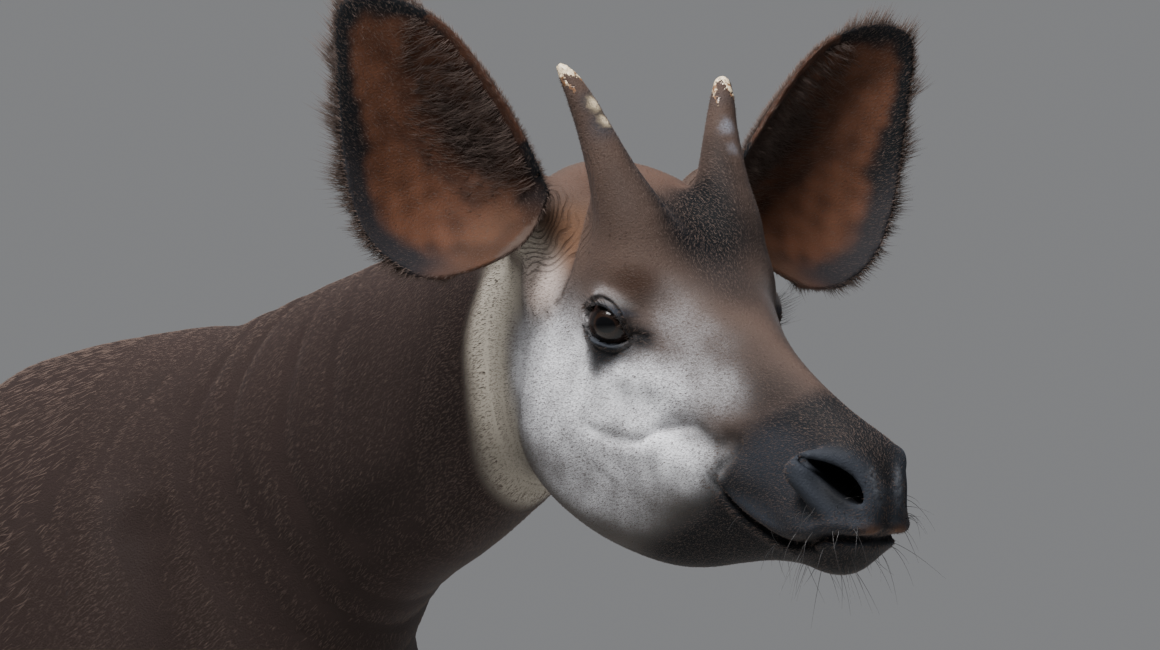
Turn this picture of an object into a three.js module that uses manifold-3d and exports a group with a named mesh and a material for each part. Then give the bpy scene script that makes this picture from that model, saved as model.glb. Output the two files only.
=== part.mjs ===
// A life-size adult male okapi, standing square with its neck reached forward and its head turned
// a little to its right. Millimetres, +X the way it faces, +Y its left, +Z up, hooves on z = 0.
import * as THREE from "three";
import { mergeVertices } from "three/addons/utils/BufferGeometryUtils.js";
import Module from "manifold-3d";

const wasm = await Module();
wasm.setup();

// Driving dimensions
const GAP = 0.3; // left between two parts that touch
const LEG_TOP = 872; // the legs part from the trunk at this height
const HOCK_CUT = 560; // and part again just above the hock
const KNEE_CUT = 475; // or just under the knee
const CORONET = 62; // where the hoof wall starts
const EYES = [1140, -130, 1578]; // the point on the head's middle plane, level with the eyes
const HEAD_PITCH = 16; // degrees, nose down
const HEAD_TURN = -14; // degrees, to the right
const HEAD_ROLL = 1;
const EYE = [-14, -66, -2]; // middle of the right eyeball, in the head's frame
const EYE_RADIUS = 24;
const EYE_FORWARD = 30; // degrees the eye looks forward of sideways
const EYE_RISE = 3; // and above level
const LID = 3.4; // thickness of the lids over the eyeball
const LID_OPENING = { half: [21, 17], depth: 60 };
// Its edge from corner to corner and back: each control point and end point, as shares of its halves
const LID_CURVES = [
  [-0.45, 1.6, 0.45, 0.75],
  [0.9, 0.35, 1.15, -0.45],
  [0.1, -1.75, -1, 0],
];
const EYE_SEGMENTS = [16, 10];
const OSSICONE_SEAM = [-57, -53, 95]; // where the right ossicone parts from the head
const HORN_BOX = 100; // size of the cutter that frees an ossicone
const BARE_TIP = 24; // length of the bare bone at each ossicone's end
const EAR_ROOT = [-104, -97, 69]; // of the right ear
const EAR_PLANE = 99; // the ears part from the head this far from its middle plane
const EAR_DEPTH = 42; // of the cup
const EAR_WALL = 5;
const EAR_CURL = 9; // how far the edge turns forward at the root, and back at the tip
const EAR_LENGTH = 223;
const EAR_STALK = { middle: [4, 4, -40], radii: [44, 34, 19] };
// Each ear's pose in degrees: how far its long axis rises from level, and how far outward from
// straight ahead it opens
const EAR_POSE = {
  right: { rise: 46, turn: 24 },
  left: { rise: 38, turn: -8 },
};
const MUZZLE_PLANE = 126; // the muzzle parts from the head this far in front of the eyes
const MOUTH_GAP = 2.4;
const NOSTRIL = {
  middle: [242, -28, -59],
  outward: [0.6, -0.78, 0.15],
  along: [67, 22, -15],
  half: [33, 18],
  rim: 5.5,
  depth: 24,
  inset: 4, // from the middle of the rim in to the hollow's edge
  segments: [18, 14],
};
const TOE_NARROWING = 0.3; // share of a claw's width that its toe loses
const TOE_TURN = 0.45; // how far the toe turns to its pair, as a share of the claw's half width
const CLAW_SPREAD = 19.5; // from a foot's middle to the middle of each claw
const TAIL_SEAM = -746;
const NECK_SEAM = { point: [600, -15, 1432], normal: [0.755, 0, 0.656] };
const HEAD_SEAM = { point: [-168, 0, -40], normal: [0.987, 0, 0.157] };

// Each row of a flank: x, height of the widest place, top, bottom, half width, squareness above, below
const TRUNK = [
  [-735, 1200, 1250, 1120, 48, 2, 2],
  [-705, 1205, 1308, 1068, 108, 2.1, 2],
  [-645, 1205, 1374, 1030, 158, 2.2, 2],
  [-550, 1205, 1418, 995, 192, 2.2, 2],
  [-430, 1205, 1442, 966, 217, 2.2, 2.2],
  [-290, 1190, 1450, 944, 238, 2.1, 2.3],
  [-120, 1168, 1460, 918, 257, 2, 2.3],
  [50, 1155, 1476, 898, 260, 1.9, 2.2],
  [190, 1165, 1503, 890, 238, 1.8, 2.1],
  [315, 1180, 1540, 892, 205, 1.8, 2.1],
  [430, 1195, 1553, 904, 180, 1.8, 2],
  [530, 1205, 1530, 930, 160, 1.9, 2],
  [610, 1205, 1400, 975, 134, 2, 2],
  [668, 1200, 1285, 1045, 98, 2, 2],
  [702, 1190, 1228, 1115, 48, 2, 2],
];
const HEAD = [
  [-222, -30, 26, -92, 42, 2, 2],
  [-190, -20, 76, -130, 66, 2, 2.1],
  [-150, -10, 96, -160, 77, 2.2, 2.4],
  [-105, -8, 98, -183, 82, 2.3, 2.6],
  [-55, -8, 87, -196, 82, 2.3, 2.4],
  [-12, -12, 69, -199, 77, 2.4, 2.1],
  [30, -26, 51, -195, 68, 2.1, 1.9],
  [70, -45, 33, -184, 56, 1.9, 1.8],
  [110, -60, 17, -168, 47, 1.8, 1.8],
  [150, -68, 4, -153, 41, 1.8, 1.9],
  [190, -70, -7, -143, 39, 1.9, 2],
  [225, -72, -16, -136, 39, 2.1, 2.1],
  [250, -73, -27, -126, 36, 2.3, 2.2],
  [265, -74, -40, -112, 28, 2.2, 2.2],
  [274, -75, -54, -97, 18, 2, 2],
  [278, -75, -66, -84, 8, 2, 2],
];
// Each row of a limb: x, y, z of its middle, reach up (or forward), down (or back), and sideways
const NECK = [
  [400, 0, 1330, 205, 315, 150],
  [540, -10, 1392, 180, 262, 126],
  [673, -28, 1453, 160, 149, 104],
  [800, -54, 1504, 144, 130, 89],
  [904, -76, 1548, 128, 114, 78],
  [990, -94, 1590, 110, 102, 70],
];
const FORELEG = [
  [468, 118, 1180, 105, 125, 60],
  [446, 140, 1020, 104, 120, 63],
  [432, 145, 905, 78, 94, 56],
  [434, 141, 800, 56, 62, 45],
  [442, 136, 680, 42, 45, 36],
  [446, 131, 560, 36, 37, 31],
  [450, 129, 500, 41, 36, 36],
  [448, 128, 452, 35, 34, 32],
  [445, 127, 395, 26, 29, 24],
  [445, 126, 300, 24, 27, 22.5],
  [447, 125, 210, 26, 32, 26],
  [450, 125, 165, 31, 37, 31],
  [462, 125, 115, 27, 29, 28],
  [475, 125, 80, 34, 36, 37],
  [478, 125, 58, 36, 38, 39],
];
const HINDLEG = [
  [-500, 120, 1230, 150, 145, 74],
  [-484, 142, 1090, 162, 146, 82],
  [-458, 150, 975, 150, 124, 74],
  [-468, 148, 865, 108, 98, 60],
  [-512, 142, 755, 68, 68, 46],
  [-553, 138, 655, 43, 52, 35],
  [-572, 135, 585, 40, 54, 36],
  [-564, 134, 530, 36, 43, 33],
  [-550, 133, 450, 28, 33, 26],
  [-538, 132, 330, 26, 30, 24],
  [-528, 131, 220, 28, 34, 27],
  [-522, 130, 168, 32, 39, 32],
  [-508, 130, 115, 28, 30, 29],
  [-495, 130, 80, 34, 36, 37],
  [-492, 130, 58, 36, 38, 39],
];
const TAIL = [
  [-665, 0, 1352, 46, 48, 42],
  [-725, 0, 1322, 33, 34, 30],
  [-768, 0, 1262, 21, 21, 20],
  [-788, 0, 1175, 15, 15, 15],
  [-794, 0, 1085, 12, 12, 12],
  [-792, 0, 990, 10, 10, 10],
];
const TAIL_END = [-792, 0, 990];
// The right ossicone in the head's frame
const OSSICONE = [
  [-16, -36, 22, 38, 38, 36],
  [-38, -44, 66, 34, 34, 31],
  [-61, -53, 103, 21, 23, 20],
  [-82, -61, 136, 13.5, 15, 13.5],
  [-95, -67, 158, 10, 11, 10],
  [-104, -71, 172, 6.5, 6.5, 6.5],
  [-106, -72, 176, 2.5, 2.5, 2.5],
];
// How far the right one's tip leans beyond its pair's
const OSSICONE_LEAN = [-13, -12, 6];
// How far each foot stands before (or behind) its shoulder or hip
const STRIDE_HEIGHT = 0.92; // share of the leg's height, from the top, where the stride is whole
const STRIDE = { foreleg_left: -45, foreleg_right: 40, hindleg_left: 55, hindleg_right: -50 };
// The ear's edge, along its axis and across it, from its upper root round the tip to its lower root
const EAR_EDGE = [
  [2, -14],
  [69, -36],
  [151, -48],
  [206, -28],
  [223, 2],
  [192, 36],
  [116, 98],
  [62, 116],
  [14, 94],
  [-12, 32],
];
const EAR_MIDDLE = [92, 18];
// The line of the mouth from its corner to the front, forward and up from the eyes
const MOUTH = [
  [110, -97],
  [128, -104],
  [152, -115],
  [190, -122],
  [228, -112],
  [254, -99],
  [300, -91],
];
// Swellings of the skin over muscle and bone: middle of the left one, its reach three ways, its height
const TRUNK_FORMS = {
  shoulder_blade: [[462, 150, 1310], [85, 90, 165], 28],
  shoulder_point: [[575, 130, 1130], [70, 75, 85], 30],
  upper_arm: [[395, 180, 1045], [115, 90, 120], 30],
  thigh: [[-500, 190, 1120], [150, 100, 190], 36],
  buttock: [[-660, 100, 1180], [70, 80, 130], 22],
  hip: [[-300, 150, 1385], [55, 60, 45], 18],
  hollow_of_flank: [[-240, 230, 1330], [80, 70, 60], -16],
  breast: [[650, 50, 1130], [60, 50, 80], 16],
};
const HEAD_FORMS = {
  cheek: [[-60, 72, -98], [58, 40, 56], 10],
  brow: [[-12, 62, 42], [36, 30, 22], 9],
  temple: [[-62, 80, 30], [30, 30, 26], -9],
  cheekbone: [[28, 62, -36], [44, 26, 13], 7],
  under_eye: [[60, 60, -68], [50, 30, 22], -6],
  ear_root: [[-128, 74, 50], [34, 40, 36], 30],
  upper_lip: [[218, 40, -96], [46, 22, 18], 8],
  nose: [[240, 26, -40], [24, 24, 20], 6],
  chin: [[236, 0, -132], [30, 26, 16], 6],
};
// Each level of a claw: height, reach forward and back, half width
const CLAW = [
  [0, 50, 42, 16],
  [12, 49, 43, 17],
  [36, 40, 41, 17.5],
  [CORONET - GAP, 30, 36, 17],
];
const TUFT = {
  locks: 11,
  top: 1068, // where the tail's bare dock ends
  first_root: 1054,
  last_root: 1016,
  bottom: 812,
  shortest: 0.72, // share of the longest lock's length
  spread: [14, 26], // least and most reach of a lock from the tail's middle
  root_reach: 4,
  lock_width: 26,
  lock_thickness: 7,
  seed: 7,
};

// Along a lock: share of its length, how far it stands out, and its width, each as a share
const LOCK_LEVELS = [
  [0, 0, 0.32],
  [0.35, 0.65, 0.49],
  [0.7, 0.69, 0.37],
  [1, 0.55, 0.03],
];

const LEG_SIDES = 12;
const CLAW_SIDES = 12;
const FORWARD = new THREE.Vector3(1, 0, 0);
const UPWARD = new THREE.Vector3(0, 0, 1);
const GOLDEN_ANGLE = Math.PI * (3 - Math.sqrt(5));

const rad = THREE.MathUtils.degToRad;
const headFrame = new THREE.Matrix4().compose(
  new THREE.Vector3(...EYES),
  new THREE.Quaternion().setFromEuler(
    new THREE.Euler(rad(HEAD_ROLL), rad(HEAD_PITCH), rad(HEAD_TURN), "ZYX"),
  ),
  new THREE.Vector3(1, 1, 1),
);

// Solids

function solidOf(geometry) {
  const bare = geometry.clone();
  bare.deleteAttribute("normal");
  bare.deleteAttribute("uv");
  const merged = mergeVertices(bare, 1e-3);
  return new wasm.Manifold(
    new wasm.Mesh({
      numProp: 3,
      vertProperties: merged.attributes.position.array,
      triVerts: new Uint32Array(merged.index.array),
    }),
  );
}

function geometryOf(solid) {
  const mesh = solid.getMesh();
  const geometry = new THREE.BufferGeometry();
  geometry.setAttribute("position", new THREE.BufferAttribute(mesh.vertProperties, 3));
  geometry.setIndex(new THREE.BufferAttribute(mesh.triVerts, 1));
  return geometry;
}

const join = (solids) => solids.reduce((whole, next) => whole.add(next));

// The largest closed piece of a solid, which drops scraps that a cut left.
function largest(solid) {
  const pieces = solid.decompose();
  return pieces.reduce((best, next) => (next.volume() > best.volume() ? next : best));
}

// A repeatable draw of numbers from 0 to 1.
function seededRandom(seed) {
  let state = seed;
  return () => {
    state = (state * 16807) % 2147483647;
    return state / 2147483647;
  };
}

// Shapes

// Rows of numbers with more between each two, on a smooth curve.
function smoothRows(rows, steps) {
  const out = [];
  for (let i = 0; i < rows.length - 1; i++) {
    const around = [rows[Math.max(i - 1, 0)], rows[i], rows[i + 1], rows[Math.min(i + 2, rows.length - 1)]];
    for (let k = 0; k < steps; k++) {
      const t = k / steps;
      out.push(
        rows[i].map((_, c) => {
          const [a, b, d, e] = around.map((row) => row[c]);
          const bend = (2 * a - 5 * b + 4 * d - e) * t * t + (3 * b - a - 3 * d + e) * t ** 3;
          return 0.5 * (2 * b + (d - a) * t + bend);
        }),
      );
    }
  }
  out.push(rows.at(-1));
  return out;
}

// A closed skin over rings of points, with a fan at each end.
function skinOver(rings) {
  const sides = rings[0].length;
  const points = rings.flat();
  const faces = [];
  for (let i = 0; i < rings.length - 1; i++) {
    for (let k = 0; k < sides; k++) {
      const a = i * sides + k;
      const b = i * sides + ((k + 1) % sides);
      faces.push(a, b, b + sides, a, b + sides, a + sides);
    }
  }
  for (const [ring, turned] of [
    [0, true],
    [rings.length - 1, false],
  ]) {
    const middle = points.length;
    points.push(rings[ring].reduce((sum, p) => sum.add(p), new THREE.Vector3()).divideScalar(sides));
    for (let k = 0; k < sides; k++) {
      const a = ring * sides + k;
      const b = ring * sides + ((k + 1) % sides);
      faces.push(...(turned ? [middle, b, a] : [middle, a, b]));
    }
  }
  const geometry = new THREE.BufferGeometry().setFromPoints(points);
  geometry.setIndex(faces);
  return geometry;
}

// One point of a section: a rounded square that reaches differently up, down and sideways.
function sectionPoint(angle, up, down, side, above, below) {
  const c = Math.cos(angle);
  const s = Math.sin(angle);
  const square = s > 0 ? above : below;
  const reach = (Math.abs(c) ** square + Math.abs(s) ** square) ** (-1 / square);
  return [c * reach * side, s * reach * (s > 0 ? up : down)];
}

// How far the forms under the skin push it out at a point.
function swelling(forms, [x, y, z]) {
  return Object.values(forms).reduce((sum, [middle, reach, height]) => {
    const away = [x, Math.abs(y), z].map((value, i) => (value - middle[i]) / reach[i]);
    return sum + height * Math.exp(-away.reduce((square, part) => square + part * part, 0));
  }, 0);
}

// A body part that runs along X, lofted from its flank's rows.
function flankLoft(rows, sides, steps, forms) {
  const rings = smoothRows(rows, steps).map(([x, widest, top, bottom, half, above, below]) =>
    Array.from({ length: sides }, (_, k) => {
      const angle = (2 * Math.PI * k) / sides;
      const [y, z] = sectionPoint(angle, top - widest, widest - bottom, half, above, below);
      const swell = 1 + swelling(forms, [x, y, widest + z]) / Math.hypot(y, z);
      return new THREE.Vector3(x, y * swell, widest + z * swell);
    }),
  );
  return skinOver(rings);
}

// A limb lofted along the curve through its rows' middles; its "up" leans to the given direction.
function limbLoft(rows, towards, sides, steps) {
  const smooth = smoothRows(rows, steps);
  const middles = smooth.map(([x, y, z]) => new THREE.Vector3(x, y, z));
  const rings = smooth.map(([, , , up, down, side], i) => {
    const before = middles[Math.max(i - 1, 0)];
    const after = middles[Math.min(i + 1, middles.length - 1)];
    const along = after.clone().sub(before).normalize();
    const across = towards.clone().cross(along).normalize();
    const upward = along.clone().cross(across);
    return Array.from({ length: sides }, (_, k) => {
      const [a, b] = sectionPoint((2 * Math.PI * k) / sides, up, down, side, 2, 2);
      return middles[i].clone().addScaledVector(across, a).addScaledVector(upward, b);
    });
  });
  return skinOver(rings);
}

function ellipsoid(middle, radii, wide, high) {
  return new THREE.SphereGeometry(1, wide, high).scale(...radii).translate(...middle);
}

// The same shape on the other side of the middle plane, its faces still pointing out.
function mirrored(geometry) {
  const other = geometry.clone().scale(1, -1, 1);
  if (!other.index) other.setIndex([...Array(other.attributes.position.count).keys()]);
  const faces = other.index.array;
  for (let i = 0; i < faces.length; i += 3) {
    [faces[i], faces[i + 1]] = [faces[i + 1], faces[i]];
  }
  return other;
}

const bothSides = (geometry) => [geometry, mirrored(geometry)];

// The turn and place of something that lies on the skin: its X goes along, its Z points out.
function onSkin(point, outward, along) {
  const z = new THREE.Vector3(...outward).normalize();
  const y = z.clone().cross(new THREE.Vector3(...along)).normalize();
  const x = y.clone().cross(z);
  return new THREE.Matrix4().makeBasis(x, y, z).setPosition(...point);
}

const inHead = (geometry) => solidOf(geometry.clone().applyMatrix4(headFrame));

// A big box whose one face is a plane, for cutting all that lies ahead of it.
function ahead(point, normal, size) {
  const box = new THREE.BoxGeometry(size, size, size);
  box.translate(size / 2, 0, 0);
  const facing = new THREE.Vector3(...normal).normalize();
  box.applyQuaternion(new THREE.Quaternion().setFromUnitVectors(new THREE.Vector3(1, 0, 0), facing));
  box.translate(...point);
  return box;
}

function boxBetween(low, high) {
  const size = low.map((value, i) => high[i] - value);
  return new THREE.BoxGeometry(...size).translate(...low.map((value, i) => value + size[i] / 2));
}

// A solid in two by a plane, what lies behind it and what lies ahead, with the gap between them.
function splitAhead(solid, point, normal, frame = new THREE.Matrix4(), size = 3000) {
  const facing = new THREE.Vector3(...normal).normalize();
  const backed = new THREE.Vector3(...point).addScaledVector(facing, GAP).toArray();
  const cutters = [point, backed].map((place) => solidOf(ahead(place, normal, size).applyMatrix4(frame)));
  return [largest(solid.subtract(cutters[0])), largest(solid.intersect(cutters[1]))];
}

// Trunk, neck, legs and tail

const rowsOf = (name) => (name.startsWith("fore") ? FORELEG : HINDLEG);

function legRows(rows, name) {
  const side = name.endsWith("left") ? 1 : -1;
  const top = rows[0][2];
  return rows.map(([x, y, z, front, back, half]) => {
    const lean = Math.min(1, (top - z) / (top * STRIDE_HEIGHT));
    return [x + STRIDE[name] * lean, side * y, z, front, back, half];
  });
}

const makeLeg = (rows, name) => solidOf(limbLoft(legRows(rows, name), FORWARD, LEG_SIDES, 2));

function makeBody() {
  const trunk = solidOf(flankLoft(TRUNK, 26, 2, TRUNK_FORMS));
  const neck = solidOf(limbLoft(NECK, UPWARD, 22, 2));
  const head = inHead(flankLoft(HEAD, 26, 3, HEAD_FORMS));
  const tail = solidOf(limbLoft(TAIL, FORWARD, 12, 3));
  const legs = Object.keys(STRIDE).map((name) => makeLeg(rowsOf(name), name));
  return join([trunk, neck, head, tail, ...legs]);
}

// A claw: a ring of points at each height, blunt behind and drawn to the toe in front.
function makeClaw(middle, inward) {
  const rings = CLAW.map(([z, front, back, half]) =>
    Array.from({ length: CLAW_SIDES }, (_, k) => {
      const angle = (2 * Math.PI * k) / CLAW_SIDES;
      const toe = Math.max(Math.cos(angle), 0);
      const x = Math.cos(angle) * (toe > 0 ? front : back);
      const narrow = Math.sin(angle) * half * (1 - TOE_NARROWING * toe);
      const y = narrow + inward * toe * toe * half * TOE_TURN;
      return new THREE.Vector3(middle[0] + x, middle[1] + y, z);
    }),
  );
  return solidOf(skinOver(rings));
}

function makeHooves(rows, name) {
  const [x, y] = legRows(rows, name).at(-1);
  const outside = Math.sign(y);
  return {
    inner: makeClaw([x, y - outside * CLAW_SPREAD], outside),
    outer: makeClaw([x, y + outside * CLAW_SPREAD], -outside),
  };
}

// The tail's tuft: flat tapered locks that leave the dock all round and hang.
function makeTuft(dock) {
  const random = seededRandom(TUFT.seed);
  const locks = Array.from({ length: TUFT.locks }, (_, i) => {
    const angle = i * GOLDEN_ANGLE;
    const out = new THREE.Vector3(Math.cos(angle), Math.sin(angle), 0);
    const flat = new THREE.Vector3(-out.y, out.x, 0);
    const rootZ = THREE.MathUtils.lerp(TUFT.first_root, TUFT.last_root, i / TUFT.locks);
    const length = (rootZ - TUFT.bottom) * THREE.MathUtils.lerp(TUFT.shortest, 1, random());
    const spread = THREE.MathUtils.lerp(...TUFT.spread, random());
    const rings = LOCK_LEVELS.map(([t, belly, taper]) => {
      const middle = new THREE.Vector3(TAIL_END[0], TAIL_END[1], rootZ - length * t);
      middle.addScaledVector(out, TUFT.root_reach + spread * belly);
      const corners = [
        [TUFT.lock_width * taper, 0],
        [0, TUFT.lock_thickness * taper],
        [-TUFT.lock_width * taper, 0],
        [0, -TUFT.lock_thickness * taper],
      ];
      return corners.map(([a, b]) => middle.clone().addScaledVector(flat, a).addScaledVector(out, b));
    });
    return solidOf(skinOver(rings));
  });
  return largest(join([dock, ...locks]));
}

// Face

// The almond between the lids, as a rod that leaves the head along the eye's line of sight.
function lidOpening() {
  const [long, high] = LID_OPENING.half;
  const outline = new THREE.Shape();
  outline.moveTo(-long, 0);
  for (const [cx, cy, x, y] of LID_CURVES) {
    outline.quadraticCurveTo(long * cx, high * cy, long * x, high * y);
  }
  const rod = { depth: LID_OPENING.depth, bevelEnabled: false, curveSegments: 5 };
  return new THREE.ExtrudeGeometry(outline, rod);
}

function openEyes(head) {
  const forward = rad(EYE_FORWARD);
  const frame = onSkin(
    EYE,
    [Math.sin(forward), -Math.cos(forward), Math.tan(rad(EYE_RISE))],
    [Math.cos(forward), Math.sin(forward), 0],
  );
  const ball = (radius) => bothSides(ellipsoid(EYE, [radius, radius, radius], ...EYE_SEGMENTS));
  const lids = ball(EYE_RADIUS + LID).map(inHead);
  const sockets = ball(EYE_RADIUS + GAP).map(inHead);
  const openings = bothSides(lidOpening().applyMatrix4(frame)).map(inHead);
  const opened = join([head, ...lids]).subtract(join([...sockets, ...openings]));
  const [right, left] = ball(EYE_RADIUS).map(inHead);
  return { opened, eyes: { right, left } };
}

// A rolled rim with a hollow inside it, on each side of the muzzle.
function openNostrils(head) {
  const frame = onSkin(NOSTRIL.middle, NOSTRIL.outward, NOSTRIL.along);
  const [long, high] = NOSTRIL.half;
  const [around, across] = NOSTRIL.segments;
  const rim = new THREE.TorusGeometry(1, NOSTRIL.rim / high, 6, around).scale(long, high, high);
  const hollow = new THREE.SphereGeometry(1, across, 8);
  hollow.scale(long - NOSTRIL.inset, high - NOSTRIL.inset, NOSTRIL.depth);
  const rims = bothSides(rim.applyMatrix4(frame)).map(inHead);
  const hollows = bothSides(hollow.applyMatrix4(frame)).map(inHead);
  return join([head, ...rims]).subtract(join(hollows));
}

// The slot between the lips, right through from side to side.
function mouthSlot() {
  const curve = new THREE.SplineCurve(MOUTH.map(([x, z]) => new THREE.Vector2(x, z)));
  const line = curve.getPoints(12);
  const outline = new THREE.Shape([
    ...line.map(({ x, y }) => new THREE.Vector2(x, y - MOUTH_GAP / 2)),
    ...line.reverse().map(({ x, y }) => new THREE.Vector2(x, y + MOUTH_GAP / 2)),
  ]);
  const slot = new THREE.ExtrudeGeometry(outline, { depth: 200, bevelEnabled: false });
  return slot.rotateX(Math.PI / 2).translate(0, 100, 0);
}

// The rows of one ossicone; the right one leans further the nearer a row is to its tip.
function ossiconeRows(side) {
  const last = OSSICONE.length - 1;
  return OSSICONE.map(([x, y, z, ...radii], i) => {
    const share = side < 0 ? (i / last) ** 2 : 0;
    const [back, out, up] = OSSICONE_LEAN.map((value) => value * share);
    return [x + back, -side * (y + out), z + up, ...radii];
  });
}

// Ears

// The turn and place of an ear: its X goes to the tip, its Z to where it opens. The left ear is
// made as a right one and mirrored, so both are set on the right first.
function earFrame(side, pose) {
  const level = new THREE.Matrix4().makeRotationZ(rad(HEAD_TURN));
  const root = new THREE.Vector3(EAR_ROOT[0], side * Math.abs(EAR_ROOT[1]), EAR_ROOT[2]);
  const turn = rad(pose.turn);
  const rise = rad(pose.rise);
  const opens = new THREE.Vector3(Math.cos(turn), -Math.sin(turn), 0);
  const outward = new THREE.Vector3(-Math.sin(turn), -Math.cos(turn), 0);
  const along = outward.multiplyScalar(Math.cos(rise)).add(new THREE.Vector3(0, 0, Math.sin(rise)));
  const ear = onSkin([0, 0, 0], opens.toArray(), along.toArray());
  return { ear, place: level.setPosition(root.applyMatrix4(headFrame)) };
}

// How far the cup's inside lies behind its edge, at a share of the way out to the edge.
function earHollow(share, along) {
  const towardRoot = 1 - 0.5 * THREE.MathUtils.clamp(along / EAR_LENGTH, 0, 1);
  const curl = EAR_CURL * share ** 4 * Math.cos((along / EAR_LENGTH) * Math.PI);
  return curl - EAR_DEPTH * towardRoot * (1 - share ** 2.4);
}

function earShell() {
  const edge = new THREE.CatmullRomCurve3(
    EAR_EDGE.map(([u, w]) => new THREE.Vector3(u, w, 0)),
    true,
  );
  const sides = 24;
  const outline = Array.from({ length: sides }, (_, k) => edge.getPoint(k / sides));
  const layer = (shares, offset) =>
    shares.map((share) =>
      outline.map(({ x, y }) => {
        const u = EAR_MIDDLE[0] + share * (x - EAR_MIDDLE[0]);
        const w = EAR_MIDDLE[1] + share * (y - EAR_MIDDLE[1]);
        return new THREE.Vector3(u, w, earHollow(share, u) + offset(share));
      }),
    );
  const inside = layer([0.08, 0.36, 0.6, 0.82, 1], () => 0);
  const outside = layer([1, 0.82, 0.6, 0.36, 0.08], (share) => -EAR_WALL * (1.9 - 1.1 * share));
  return skinOver([...inside, ...outside].reverse());
}

function makeEar(side, pose) {
  const { ear, place } = earFrame(side, pose);
  const shapes = [earShell(), ellipsoid(EAR_STALK.middle, EAR_STALK.radii, 14, 8)];
  const solids = shapes.map((shape) => {
    const right = shape.applyMatrix4(ear);
    return solidOf((side < 0 ? right : mirrored(right)).applyMatrix4(place));
  });
  return join(solids);
}

// The scene

const SKINS = {
  coat: ["#3a2822", 0.62],
  face: ["#8d8580", 0.7],
  muzzle: ["#2a2828", 0.55],
  ear: ["#4a2a1c", 0.8],
  ossicone: ["#4b3a34", 0.6],
  bone: ["#d9c9ae", 0.45],
  eye: ["#0d0b0c", 0.08],
  hoof: ["#2b2522", 0.5],
  stocking: ["#d8d0c4", 0.75],
};

const okapi = new THREE.Group();
const headGroup = new THREE.Group();
headGroup.position.set(...EYES);
headGroup.rotation.set(rad(HEAD_ROLL), rad(HEAD_PITCH), rad(HEAD_TURN), "ZYX");
okapi.add(headGroup);
okapi.updateMatrixWorld(true);

// Adds a part to a group, its geometry told from a pivot that the mesh then stands on.
function addPart(name, solid, skin, group, pivot = [0, 0, 0]) {
  const [color, roughness] = SKINS[skin];
  const material = new THREE.MeshStandardMaterial({ color, roughness, metalness: 0 });
  const geometry = geometryOf(largest(solid));
  geometry.applyMatrix4(group.matrixWorld.clone().invert());
  geometry.translate(...pivot.map((value) => -value));
  geometry.computeVertexNormals();
  const mesh = new THREE.Mesh(geometry, material);
  mesh.name = name;
  mesh.position.set(...pivot);
  group.add(mesh);
  return mesh;
}

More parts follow.
